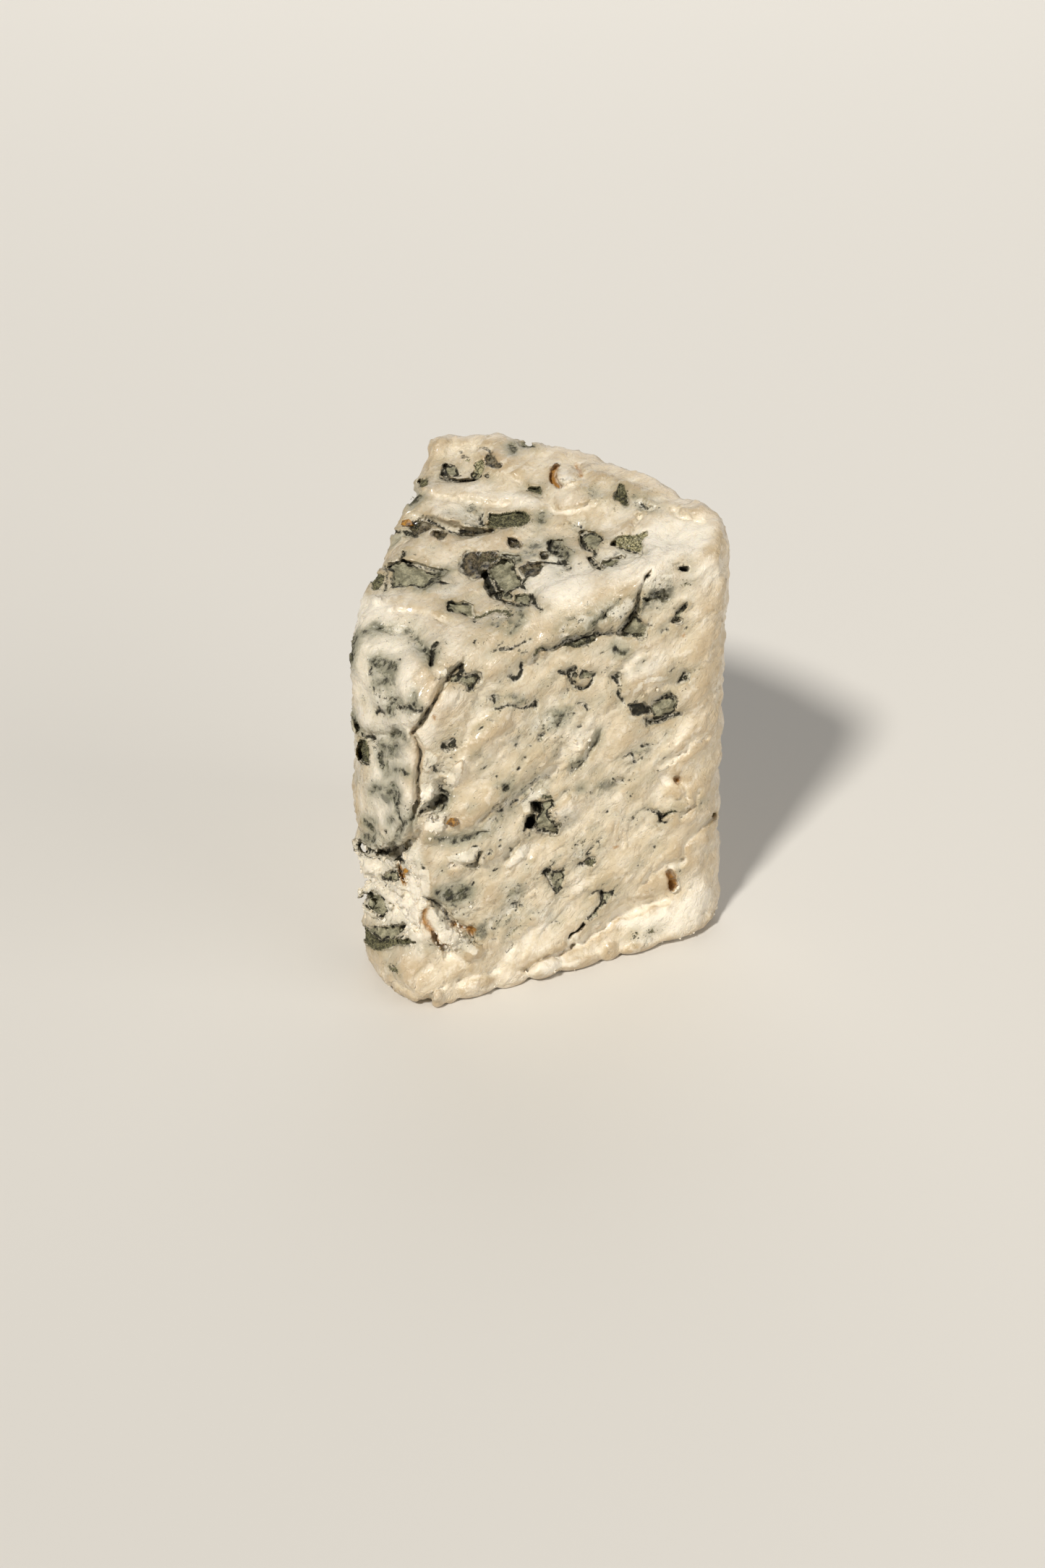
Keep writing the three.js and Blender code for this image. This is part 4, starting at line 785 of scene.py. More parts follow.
# Lone dark specks, by their places.
SPECKS = {
    RIGHT: [(65.1, 33.9), (70.1, 35.8), (56.2, 13.8), (55.4, 15), (90.4, 34), (75.1, 75.9), (45.4, 78.3),
            (37.6, 83.8), (43.7, 82.4), (42.8, 70.9), (38.3, 70.2), (32.3, 59.2), (57.6, 67.4), (66, 63.9),
            (54, 63), (48, 60.5), (47.6, 58.2), (50, 57.6), (53.1, 57.1), (49, 55.2), (28.7, 54.5),
            (26.2, 55.9), (36.9, 46.6), (44.7, 43.4), (42.1, 42.6), (33.1, 36.5), (30, 33.2),
            (44.3, 25.5), (49.7, 28.8), (64, 43.1), (74.7, 43.6), (75, 55)],
    TOP: [(-2.5, 36.2), (-6.5, 31.5), (3, 48.7), (-15, 58), (14, 63), (0, 74), (-20, 69)],
    NOSE: [(2.5, 46), (1, 70), (14, 85), (8, 42), (16, 57), (6, 66), (12, 6)],
}
MOULD += [(face, "black", 0.55, 0.4, [place]) for face, places in SPECKS.items() for place in places]
GOLDEN = 0.618  # the share of a row that keeps the marks on it well apart


def spread_mould(face, across, up, count, seed):
    """Pockets, veins and specks on a face, by a rule: small ones are the most common."""
    draw = np.random.default_rng(seed)
    marks = []
    for i in range(count):
        a = across[0] + (across[1] - across[0]) * ((i * GOLDEN + draw.uniform(0, 0.3)) % 1)
        b = up[0] + (up[1] - up[0]) * (i + draw.uniform(0, 1)) / count
        way, size = math.radians(draw.uniform(-40, 90)), draw.uniform(0.3, 1) ** 2
        if size > 0.3:
            outline = []
            for turn in np.linspace(0, 2 * math.pi, 9)[:-1]:
                away = 2.7 * size * draw.uniform(0.45, 1.2)
                p, q = away * math.cos(turn), 0.6 * away * math.sin(turn)
                outline.append((a + p * math.cos(way) - q * math.sin(way),
                                b + p * math.sin(way) + q * math.cos(way)))
            look = draw.choice(["slate", "black", "olive"], p=[0.5, 0.2, 0.3])
            tail = (outline[4][0] - 2.4 * math.cos(way), outline[4][1] - 2.4 * math.sin(way))
            marks += [(face, look, 0, 0.4 + 1.2 * size, outline),
                      (face, "black", 0.6, 0.9, outline[1:5] + [tail]), (face, "grey", 3, 0, outline[:2])]
            continue
        line = [(a, b)]
        for _ in range(2):
            way += draw.uniform(-0.9, 0.9)
            length = 7 * size * draw.uniform(0.6, 1.2)
            line.append((line[-1][0] + length * math.cos(way), line[-1][1] + length * math.sin(way)))
        marks.append((face, draw.choice(["black", "stain"]), draw.uniform(0.4, 1), 0.5, line))
    return marks


MOULD += spread_mould(LEFT, (38, 90), (8, 86), 66, 5)
MOULD += spread_mould(RIND, (-30, 22), (10, 84), 7, 6)
MOULD += [(face, "black", 0.45, 0.3, line[:2]) for face, _, width, _, line in
          spread_mould(RIGHT, (36, 86), (14, 84), 60, 8) if 0 < width < 1]


def mark_distance(face, x, y, z, width, points):
    """How far a place is from a mark's torn edge, and below 0 inside the mark."""
    a, b = face.measure(x, y, z)
    da, db = ragged(x, y, z, *MARK_TEAR)
    return edge_distance(a + da, b + db, width, points, width == 0)


paste = skin.copy()
for face, look, width, depth, points in MOULD:
    if not depth:
        continue
    part, (x, y, z) = window(line_places(face, points), width / 2 + depth + MARK_REACH)
    distance = mark_distance(face, x, y, z, width, points)
    near = falling(skin[part], depth + MARK_REACH, 4) * hold_foot(z)
    if width and width < 1:  # a scratch, and not a pocket with a floor
        paste[part] += depth * falling(np.maximum(distance + width / 2, 0), 0.5 * width + 0.3) * near
        continue
    floor = depth * (1 + 0.3 * noise(x, y, z, 1.4, 9))
    pocket = np.maximum(distance, -skin[part] - floor)
    lip = MARK_LIP * falling(distance - 0.5, 0.5) * near
    paste[part] = np.maximum(paste[part] - lip, np.where(near > 0.3, -pocket, -9))

# The grid's field becomes a mesh.
FIELD_REACH = 3.0
volume = openvdb.FloatGrid()
volume.background = FIELD_REACH
volume.copyFromArray(np.ascontiguousarray(np.clip(paste, -FIELD_REACH, FIELD_REACH)))
corners, triangles, quads = volume.convertToPolygons(0.0, 0.0)
corners = corners * STEP + low_corner
quads = quads[:, ::-1]  # so that they face outwards


def rows_of(mesh, what):
    """A row for each of a mesh's points: its place, "co", or its "normal"."""
    flat = np.empty(len(mesh.vertices) * 3, np.float32)
    mesh.vertices.foreach_get(what, flat)
    return flat.reshape(-1, 3)


def move_points(mesh, points):
    """Puts a mesh's points at these places, given in millimetres from the wheel's axis."""
    mesh.vertices.foreach_set("co", ((points + AXIS) * TO_METRES).astype(np.float32).ravel())


mesh = bpy.data.meshes.new("cheese_paste")
mesh.vertices.add(len(corners))
move_points(mesh, corners)
mesh.loops.add(quads.size)
mesh.loops.foreach_set("vertex_index", quads.astype(np.int32).ravel())
mesh.polygons.add(len(quads))
mesh.polygons.foreach_set("loop_start", np.arange(0, quads.size, 4, dtype=np.int32))
mesh.update(calc_edges=True)
mesh.validate()
cheese = bpy.data.objects.new("cheese_paste", mesh)
bpy.context.collection.objects.link(cheese)


# Relief: the knife's slanting smears on the cuts, the curd's soft grain everywhere, and the rough,
# crumbled break on the nose and beside it.
points = rows_of(mesh, "co") * TO_MILLIMETRES - AXIS
normals = rows_of(mesh, "normal")
x, y, z = points.T
a, b = RIGHT.measure(x, y, z)
bend = 3 * noise(x, y, z, 9, 21)
along_smear, across_smear = 0.77 * a + 0.64 * b, -0.64 * a + 0.77 * b + bend


def layers(along, across, size, seed):
    """Smeared layers, each rising slowly and ending in a crisp edge."""
    rise = (2.4 * noise(along / 5, across, x * 0.4, size, seed)) % 1
    return rise - fade(rise, 0.82, 1)


flow = noise(along_smear / 3, across_smear, x * 0.5, 4.2, 47)
wrinkled = np.abs(noise(along_smear / 3.4, across_smear, x * 0.6, 2.6, 43))
wrinkled = falling(wrinkled, 0.12) * fade(noise(x, y, z, 5, 44), -0.4, 0.4)
cracked = falling(noise(x, y, z, 3.4, 45), 0.06) * fade(noise(x, y, z, 7, 46), 0.1, 0.6)
ridge = 0.6 - np.abs(noise(along_smear / 3, across_smear, x * 0.5, 2.4, 23))
layered = layers(along_smear, across_smear, 5, 31) * fade(noise(x, y, z, 8, 32), -0.5, 0.4)
layered = layered + 0.3 * layers(along_smear, across_smear, 2.6, 33)
curd = noise(x, y, z, 6, 24) + 0.5 * noise(x, y, z, 2.8, 28)
crumbs = np.maximum(noise(x, y, z, 1.1, 25) - 0.7, 0)
pits = np.maximum(noise(x, y, z, 1.0, 30) - 0.75, 0)
rind_side = fade(np.hypot(x, y), 93, 99)
nose_side = fade(normals @ np.array([nose_along[1], -nose_along[0], 0]), 0.5, 0.85)
top_side = fade(normals[:, 2], 0.6, 0.9)
cut = (1 - rind_side) * (1 - 0.7 * nose_side) * (1 - 0.45 * top_side)
# How far each part of the relief stands out, in millimetres.
relief = 0.24 * curd + 0.3 * crumbs - 0.5 * pits
relief = relief + (0.3 * flow + 0.2 * ridge + 0.4 * layered) * cut
relief = relief - 0.3 * wrinkled * (1 - 0.7 * rind_side) * (1 - 0.5 * nose_side) - 0.25 * cracked
rind_wrinkles = 0.18 * noise(x, y, z, 9, 36) - 0.25 * fade(noise(x, y, z, 2.2, 37), 0.75, 1.1)
relief = relief + rind_side * rind_wrinkles
# Where the right cut crumbles: middle, half width and half height, and how much.
CRUMBLING = [(29, 53, 5, 9, 1), (31, 44, 4, 4, 0.8), (33, 18, 7, 8, 0.8), (60, 54, 5, 6, 0.6),
             (36, 34, 4, 3, 0.5), (49, 33, 3, 4, 0.5)]


def broken_parts(x, y, z):
    """1 where the nose is torn off, and 1 wherever the paste crumbles, the nose included."""
    a, b = RIGHT.measure(x, y, z)
    s, t = NOSE.measure(x, y, z)
    torn = fade(s, -3, 0) * (1 - fade(s, 24, 27)) * (1 - fade(t, 28 + 0.5 * s, 32 + 0.5 * s))
    torn = torn * fade(t, 10, 16) * (1 - fade(y, 34, 40))
    crumbling = torn
    for across, up, half_width, half_height, how in CRUMBLING:
        spread = ((a - across) / half_width) ** 2 + ((b - up) / half_height) ** 2
        crumbling = np.maximum(crumbling, how * np.exp(-(spread**2)) * (x > 0))
    return torn, crumbling


torn, broken = broken_parts(x, y, z)
crumbled = np.abs(noise(x, y, z, 1.9, 26)) + 0.6 * np.abs(noise(x, y, z, 0.9, 27)) - 0.5
relief = relief + 0.65 * broken * crumbled + 0.35 * broken * layers(x + y, z, 2.6, 34)
relief = relief + 0.42 * fade(np.hypot(x, y), 88, 96) * noise(x, y, z, 2.8, 35)
points += normals * (relief * hold_foot(z) * fade(z, 0.3, 2.5))[:, None]
points[:, 2] = np.maximum(points[:, 2], 0)
move_points(mesh, points)
mesh.update()

# The mesh is thinned first on the hidden sides, and then everywhere.
HIDDEN_FACES, ALL_FACES = 52000, 196000
SHOWN_WAY, TURNED_AWAY = np.array([0.55, -0.68, 0.5]), -0.12


def triangles_of(mesh):
    return sum(len(p.vertices) - 2 for p in mesh.polygons)


def keep_result(piece):
    """Swaps a piece's mesh for what its modifiers make of it, and removes them."""
    result = bpy.data.meshes.new_from_object(piece.evaluated_get(bpy.context.evaluated_depsgraph_get()))
    piece.modifiers.clear()
    old, piece.data = piece.data, result
    bpy.data.meshes.remove(old)
    result.name = piece.name


def thin_out(piece, wanted, where=None):
    """Leaves about so many triangles, taking them where the form is flattest."""
    before = triangles_of(piece.data)
    if wanted >= before:
        return
    thin = piece.modifiers.new("thin", "DECIMATE")
    thin.ratio = wanted / before
    if where is not None:
        group = piece.vertex_groups.new(name="thin")
        group.add(np.flatnonzero(where).tolist(), 1.0, "REPLACE")
        thin.vertex_group = "thin"
    bpy.context.view_layer.update()
    keep_result(piece)
    piece.vertex_groups.clear()


hidden = (normals @ SHOWN_WAY < TURNED_AWAY) | (z < 0.05)
hidden_before = hidden[quads].all(1).sum() * 2
thin_out(cheese, triangles_of(mesh) - hidden_before + HIDDEN_FACES, hidden)
thin_out(cheese, ALL_FACES)
mesh = cheese.data
mesh.shade_smooth()

# What each point of the surface is: how far it is from the edge of each kind of mould.
points = rows_of(mesh, "co") * TO_MILLIMETRES - AXIS
x, y, z = points.T
LOOKS = ["slate", "black", "olive", "gold", "brown", "amber", "stain", "grey", "white"]
FAR, NEAR = 12.0, 5
look_distance = {look: np.full(len(points), FAR, np.float32) for look in LOOKS}
for face, look, width, depth, line in MOULD:
    places = np.array(line_places(face, line))
    reach = NEAR + width / 2
    near = ((points > places.min(0) - reach) & (points < places.max(0) + reach)).all(1)
    near = np.flatnonzero(near)
    distance = mark_distance(face, x[near], y[near], z[near], width, line)
    look_distance[look][near] = np.minimum(look_distance[look][near], distance)
mould = np.minimum.reduce([look_distance[look] for look in ("slate", "black", "olive", "stain", "grey")])


def add_layer(name, values):
    """Keeps one number for each point of the paste."""
    layer = mesh.attributes.new(name, "FLOAT", "POINT")
    layer.data.foreach_set("value", values.astype(np.float32))


for look in LOOKS:
    add_layer(look, look_distance[look])
add_layer("mould", mould)
# How hollow or raised each point is, by how far it lies from its neighbours' middle. The paste's colour uses
# it for painted shade in hollows and painted light on raised parts.
ends = np.empty(len(mesh.edges) * 2, np.int32)
mesh.edges.foreach_get("vertices", ends)
first, second = ends.reshape(-1, 2).T
count = np.bincount(ends, minlength=len(points))
smooth, normals = points.copy(), rows_of(mesh, "normal")
for steps, name in ((16, "raised"), (90, "swollen")):
    for _ in range(steps):
        total = np.zeros_like(smooth)
        for column in range(3):
            total[:, column] = (np.bincount(first, smooth[second, column], len(points))
                                + np.bincount(second, smooth[first, column], len(points)))
        smooth = 0.5 * smooth + 0.5 * total / count[:, None]
    add_layer(name, ((points - smooth) * normals).sum(1))
# Paler and browner patches: face, middle, half width and half height, and how pale. The pale ones on the
# nose block and on the top's slope towards the right cut are painted light, and the brown band under the
# step in the middle of the right cut is painted shade; the rest are the paste's own tones.
PATCHES = [
    (NOSE, 12, 73, 13, 12, 0.9), (TOP, 0, 33, 24, 8, 0.5), (RIGHT, 27.5, 68, 4, 5, 0.6),
    (RIGHT, 27.5, 53, 3, 5, 0.6), (RIGHT, 29, 45.5, 3, 2.6, 0.8), (RIGHT, 58.2, 39.6, 3.4, 3.2, 1),
    (RIGHT, 61, 57, 4, 4, 0.7), (RIGHT, 47.5, 32, 4.5, 2.4, 0.6), (RIGHT, 35.6, 34.8, 3, 1.4, 0.8),
    (RIGHT, 52.6, 15, 2.6, 2.6, 0.8), (RIGHT, 60.5, 21.4, 2.6, 2, 0.6), (RIGHT, 82.8, 19.8, 1.4, 1.2, 1),
    (RIGHT, 72.6, 9.8, 3, 1.4, 0.9), (RIGHT, 78, 7, 6, 2.6, 0.5), (RIGHT, 61, 7.6, 1.6, 1.6, 0.8),
    (RIGHT, 75.6, 70, 6, 2.6, 0.7), (RIGHT, 78, 88.6, 3.6, 2.4, 0.8), (RIGHT, 58, 90, 9, 3.4, 0.5),
    (RIGHT, 33, 72.6, 3.4, 2.4, 0.6), (RIGHT, 45.4, 60.2, 1.8, 1.6, 0.7), (RIGHT, 62.2, 69.4, 1.8, 1, 0.7),
    (RIGHT, 28, 20, 6, 6, 0.5), (RIGHT, 54, 3, 6, 1.4, 0.7), (RIGHT, 68, 41, 5, 2, 0.4),
    (TOP, -9, 80.6, 6, 2.4, 0.7), (TOP, -20, 69.5, 6, 3, 0.6), (TOP, 14, 60, 7, 4, 0.7),
    (TOP, -6, 91, 2.6, 2.6, 0.9), (TOP, 27, 82, 5, 6, 0.5), (TOP, -3, 49, 3, 3, 0.6),
    (TOP, -13, 57, 6, 3, 0.4), (RIGHT, 53.5, 76, 3.4, 3, -0.7), (RIGHT, 83.6, 77, 4, 1.8, -0.6),
    (RIGHT, 69, 53, 4.4, 6, -0.3), (RIGHT, 44.5, 43.4, 5, 2.4, -0.5), (RIGHT, 35, 7.6, 6, 3.4, -0.4),
    (RIGHT, 25, 11, 3, 3, -0.6), (RIGHT, 44, 64, 8, 5, -0.3), (RIGHT, 60, 47, 6, 2, -0.4),
    (RIGHT, 84, 6, 9, 5, 0.9), (RIGHT, 90, 12, 4, 6, 0.6), (RIGHT, 46, 2.4, 20, 2, 0.5),
    (NOSE, 10, 10, 8, 4, 0.5), (NOSE, 12, 60, 12, 3, 0.9), (NOSE, 20, 72, 5, 8, 0.6),
    (NOSE, 14, 46, 11, 13, 0.8), (TOP, 13, 62, 9, 7, 0.9), (TOP, 25, 74, 9, 8, 0.9),
    (TOP, 31, 86, 4, 6, 0.7), (TOP, -18, 78, 10, 3, 0.5), (TOP, -2, 86, 8, 3, 0.5),
    (TOP, -14, 36, 8, 4, 0.6), (TOP, 28, 84, 9, 8, 0.7), (RIGHT, 89, 88, 5, 4, 0.6),
    (RIGHT, 80, 86, 6, 5, 0.4), (TOP, 3, 95, 10, 3.4, -0.5), (TOP, -9, 66, 4, 2, -0.5),
    (TOP, 10, 84, 5, 3, -0.4), (TOP, -20, 90, 5, 4, -0.4), (NOSE, 14, 9, 12, 5, -0.3),
]
pale = np.zeros(len(points), np.float32)
for face, across, up, half_width, half_height, how in PATCHES:
    a, b = face.measure(x, y, z)
    da, db = ragged(x, y, z, 3, 1.2)
    spread = ((a + da - across) / half_width) ** 2 + ((b + db - up) / half_height) ** 2
    away = ((points - face.at(across, up)) ** 2).sum(1) > (2 * max(half_width, half_height) + 6) ** 2
    pale += how * np.exp(-(spread**1.5)) * ~away
add_layer("pale", pale)
torn, crumbling = broken_parts(x, y, z)
add_layer("broken", torn)
# Where loose curd and mould granules lie.
crumbly = crumbling * fade(noise(x, y, z, 2.5, 41), 0.1, 0.6)
foot = fade(z, 0.3, 0.8) * (1 - fade(z, 3, 5)) * (x > -5) * fade(noise(x, y, z, 2.5, 42), 0.3, 0.7)
crumbly = np.maximum(crumbly, 0.5 * foot) * (mould > 0.2)
granular = (look_distance["brown"] < -0.5) * fade(noise(x, y, z, 2.2, 49), -0.1, 0.5)
granular = np.maximum(granular, look_distance["olive"] < -0.1)
granular = np.maximum(granular, 0.5 * (look_distance["gold"] < -0.1))
add_layer("crumbly", crumbly)
add_layer("granular", granular)
add_layer("rind", fade(np.hypot(x, y), 95, 98.5))

# The paste's look: moist ivory with paler smears, and the mould's tones laid over it kind by kind.
KNIFE_WAY = (0.325, 0.694, 0.643)  # the way that the knife drew the paste along the right cut


class Wire:
    """One socket in a tree of nodes. Arithmetic on it adds Math nodes."""

    def __init__(self, tree, socket=None):
        self.tree, self.socket = tree, socket

    def node(self, kind, settings=None, sockets=None, output=0):
        """Adds a node: its settings first, then the values or wires of its sockets."""
        node = self.tree.nodes.new(kind)
        for name, value in (settings or {}).items():
            if name == "stops":
                while len(node.color_ramp.elements) < len(value):
                    node.color_ramp.elements.new(1)
                for element, (position, colour) in zip(node.color_ramp.elements, value):
                    element.position, element.color = position, colour
            else:
                setattr(node, name, value)
        for key, value in (sockets or {}).items():
            if isinstance(value, Wire):
                self.tree.links.new(value.socket, node.inputs[key])
            else:
                node.inputs[key].default_value = value
        return Wire(self.tree, node.outputs[output] if node.outputs else None)

    def math(self, operation, *values):
        return self.node("ShaderNodeMath", {"operation": operation}, dict(enumerate(values)))

    def __add__(self, other):
        return self.math("ADD", self, other)

    def __sub__(self, other):
        return self.math("SUBTRACT", self, other)

    def __rsub__(self, other):
        return self.math("SUBTRACT", other, self)

    def __mul__(self, other):
        return self.math("MULTIPLY", self, other)

    def __rtruediv__(self, other):
        return self.math("DIVIDE", other, self)

    def __abs__(self):
        return self.math("ABSOLUTE", self)

    __radd__, __rmul__ = __add__, __mul__

    def larger(self, other):
        return self.math("MAXIMUM", self, other)

    def fade(self, low, high):
        """0 at low and 1 at high."""
        return self.node("ShaderNodeMapRange", {"interpolation_type": "SMOOTHSTEP"},
                         {"Value": self, "From Min": low, "From Max": high})

    def mix(self, first, second):
        """The first colour where this is 0 and the second where it is 1."""
        return self.node("ShaderNodeMix", {"data_type": "RGBA"},
                         {0: self, 6: first, 7: second}, 2)

    def attribute(self, name):
        return self.node("ShaderNodeAttribute", {"attribute_name": name}, output="Fac")

    def lumps(self, size, detail=2.0, rough=0.5, smeared=0.0):
        """Noise from 0 to 1, with lumps of about size millimetres, drawn out along the knife's way."""
        where = self.node("ShaderNodeTexCoord", output="Object")
        if smeared:
            along = self.node("ShaderNodeVectorMath", {"operation": "DOT_PRODUCT"},
                              {0: where, 1: KNIFE_WAY}, "Value")
            drawn = self.node("ShaderNodeVectorMath", {"operation": "SCALE"},
                              {0: KNIFE_WAY, "Scale": along * smeared})
            where = self.node("ShaderNodeVectorMath", {"operation": "SUBTRACT"}, {0: where, 1: drawn})
        return self.node("ShaderNodeTexNoise", None,
                         {"Vector": where, "Scale": 1000 / size, "Detail": detail, "Roughness": rough})


def colour(red, green, blue):
    """A colour from its usual 0 to 255 values."""
    parts = (c / 255 for c in (red, green, blue))
    return (*(((c + 0.055) / 1.055) ** 2.4 if c > 0.04045 else c / 12.92 for c in parts), 1)


def new_material(name):
    material = bpy.data.materials.new(name)
    material.use_nodes = True
    tree = material.node_tree
    tree.nodes.clear()
    return material, Wire(tree)


def mottled(wire, size, detail, rough, low, high, first, second):
    """Two colours in lumps of a size, which part where the noise runs from low to high."""
    return wire.lumps(size, detail, rough).fade(low, high).mix(colour(*first), colour(*second))


def finish(wire, sockets):
    """The surface: a Principled shader with these sockets."""
    surface = wire.node("ShaderNodeBsdfPrincipled", None, sockets)
    wire.node("ShaderNodeOutputMaterial", None, {"Surface": surface})


material, wire = new_material("blue_cheese_paste")
fine = wire.lumps(0.45, 3, 0.6) - 0.5
small = wire.lumps(1.1, 2, 0.5) - 0.5
medium = wire.lumps(3.2, 3, 0.55)
broad = wire.lumps(14, 3, 0.5)
streaks = wire.lumps(2.0, 4, 0.6, 0.75)
mould = wire.attribute("mould")

# Paste: browner in its hollows and paler where it is raised, which is painted shade and painted light, and
# paler where it is torn or smeared.
base = (broad + 0.6 * medium).fade(0.6, 1.0).mix(colour(208, 192, 162), colour(226, 213, 188))
yellower = wire.lumps(6, 4, 0.6).fade(0.54, 0.72) * 0.4
base = yellower.mix(base, colour(203, 183, 144))
raised = wire.attribute("raised")
pale = wire.attribute("pale") + 0.6 * (medium - 0.5)
# The browner patches: the paste's own tone, and in one band painted shade.
base = (pale.fade(-0.05, -0.8) * 0.6).mix(base, colour(186, 164, 126))
# Painted shade: browner in the small and the broad hollows.
base = (raised.fade(-0.05, -0.5) * 0.55).mix(base, colour(176, 154, 118))
swollen = wire.attribute("swollen")
base = (swollen.fade(-0.1, -0.9) * 0.4).mix(base, colour(184, 162, 128))
# Paler where the nose is torn and in smeared streaks; painted light on raised and swollen parts; and paler
# in the pale patches, some of them painted light.
white = (wire.attribute("broken") * 0.8).larger(raised.fade(0.05, 0.6) * 0.45)
white = white.larger(swollen.fade(0.1, 0.9) * 0.6)
white = white.larger(wire.lumps(4, 4, 0.55, 0.6).fade(0.5, 0.75) * 0.4).larger(pale.fade(0.0, 0.9) * 0.8)
base = white.mix(base, colour(245, 238, 222))
# Painted shade where the bump's height dips and painted light where it rises.
height = 0.7 * wire.lumps(2.2, 3, 0.5, 0.4) + 0.3 * wire.lumps(0.8, 2, 0.5)
base = (height.fade(0.46, 0.36) * 0.22).mix(base, colour(182, 160, 126))
base = (height.fade(0.54, 0.64) * 0.35).mix(base, colour(247, 240, 225))
# Bare white paste, with a thin brown edge.
bare = wire.attribute("white") + 0.9 * small + 0.5 * fine
base = ((1 - abs(bare + 0.1).fade(0.05, 0.3)) * 0.35).mix(base, colour(170, 140, 92))
base = ((1 - bare.fade(-0.35, 0.1)) * 0.65).mix(base, colour(248, 241, 224))
rind = wire.attribute("rind")
rind_tone = (broad + 0.5 * medium).fade(0.5, 1.0).mix(colour(214, 198, 172), colour(232, 220, 200))
base = (0.75 * rind).mix(base, rind_tone)

# Mould that shows through the paste: a greenish halo, clouds, threads and specks.
inside = 1 - wire.attribute("grey").fade(-1.5, 1.5)
near_mould = mould - 5 * (streaks - 0.5) + 1.5 * small
halo = (1 - near_mould.fade(-0.8, 3.4)) * (0.3 + 0.9 * medium)
base = (0.64 * halo).mix(base, colour(156, 151, 126))
marble = wire.lumps(3.6, 4, 0.6)
base = (marble.fade(0.5, 0.4) * inside * 0.5).mix(base, colour(240, 236, 222))
base = (marble.fade(0.49, 0.6) * inside * 0.55).mix(base, colour(134, 134, 114))
base = (marble.fade(0.57, 0.65) * inside * 0.7).mix(base, colour(58, 56, 38))
close = 1 - mould.fade(0.2, 4.5)
threads = (wire.lumps(1.3, 5, 0.65, 0.2) + 0.05 * inside).fade(0.63, 0.7) * close
base = (0.85 * threads).mix(base, colour(68, 66, 46))
specks = (wire.lumps(0.6, 2, 0.6) + 0.05 * inside).fade(0.68, 0.73) * close
base = (0.9 * specks).mix(base, colour(54, 52, 35))

stain = wire.attribute("stain").larger(-0.6) + 2.4 * (wire.lumps(1.6, 4, 0.6) - 0.42) + 0.5 * fine
stain_mask = 1 - stain.fade(-0.35, 0.5)
smudge = 1 - (wire.attribute("stain") + 2 * (streaks - 0.5) + 1.4 * small).fade(-0.4, 2.2)
base = (0.6 * smudge).mix(base, colour(138, 137, 116))
stain_tone = mottled(wire, 1.1, 3, 0.6, 0.42, 0.64, (24, 23, 12), (78, 77, 54))
soaked = wire.lumps(1.5, 5, 0.65, 0.4).fade(0.42, 0.58)
base = (stain_mask * (0.25 + 0.72 * soaked)).mix(base, stain_tone)

# Open pockets: each kind of lining ends at an uneven edge, and slate has a dark rim, partly mould and partly
# painted shade at the pocket's edge.
slate = wire.attribute("slate") + 0.55 * fine
uneven = wire.lumps(1.6, 3, 0.6) - 0.5
slate_rim = 1 - abs(slate + 0.2 + 1.6 * uneven).fade(0.2, 0.45)
slate_tone = mottled(wire, 1.8, 4, 0.65, 0.35, 0.65, (112, 109, 87), (173, 168, 141))
powder = wire.lumps(0.35, 2, 0.6).fade(0.58, 0.66)
slate_tone = (0.45 * powder).mix(slate_tone, colour(74, 78, 60))
slate_mask = 1 - slate.fade(-0.3, 0.05)
base = slate_mask.mix(base, slate_tone)
olive = wire.attribute("olive") + 0.7 * fine
olive_mask = 1 - olive.fade(-0.25, 0.15)
base = olive_mask.mix(base, mottled(wire, 0.7, 3, 0.7, 0.38, 0.66, (54, 52, 36), (134, 130, 96)))
brown = wire.attribute("brown") + 1.2 * uneven + 0.6 * fine
brown_tone = mottled(wire, 0.7, 3, 0.7, 0.38, 0.62, (48, 42, 30), (120, 108, 84))
brown_tone = wire.lumps(2.0, 4, 0.6).fade(0.5, 0.6).mix(brown_tone, colour(30, 27, 18))
brown_tone = (wire.lumps(2.4, 4, 0.6).fade(0.56, 0.66) * 0.7).mix(brown_tone, colour(158, 150, 128))
base = (1 - brown.fade(-0.3, 0.2)).mix(base, brown_tone)
gold = wire.attribute("gold") + 0.7 * fine
gold_tone = mottled(wire, 0.5, 2, 0.6, 0.4, 0.62, (104, 101, 72), (188, 180, 142))
base = (1 - gold.fade(-0.3, 0.2)).mix(base, gold_tone)
amber = wire.attribute("amber") + 0.6 * fine
base = (1 - amber.fade(-0.4, 0.5)).mix(base, colour(168, 122, 60))

black = wire.attribute("black") + 1.2 * (wire.lumps(1.0, 4, 0.6) - 0.45) + 0.5 * fine
# The dark rim round slate pockets, partly painted shade, takes the black mould's colour.
black_mask = (1 - black.fade(-0.2, 0.25)).larger(slate_rim * wire.lumps(2.0, 2).fade(0.4, 0.52))
base = black_mask.mix(base, mottled(wire, 0.6, 2, 0.6, 0.4, 0.7, (24, 22, 12), (56, 52, 34)))

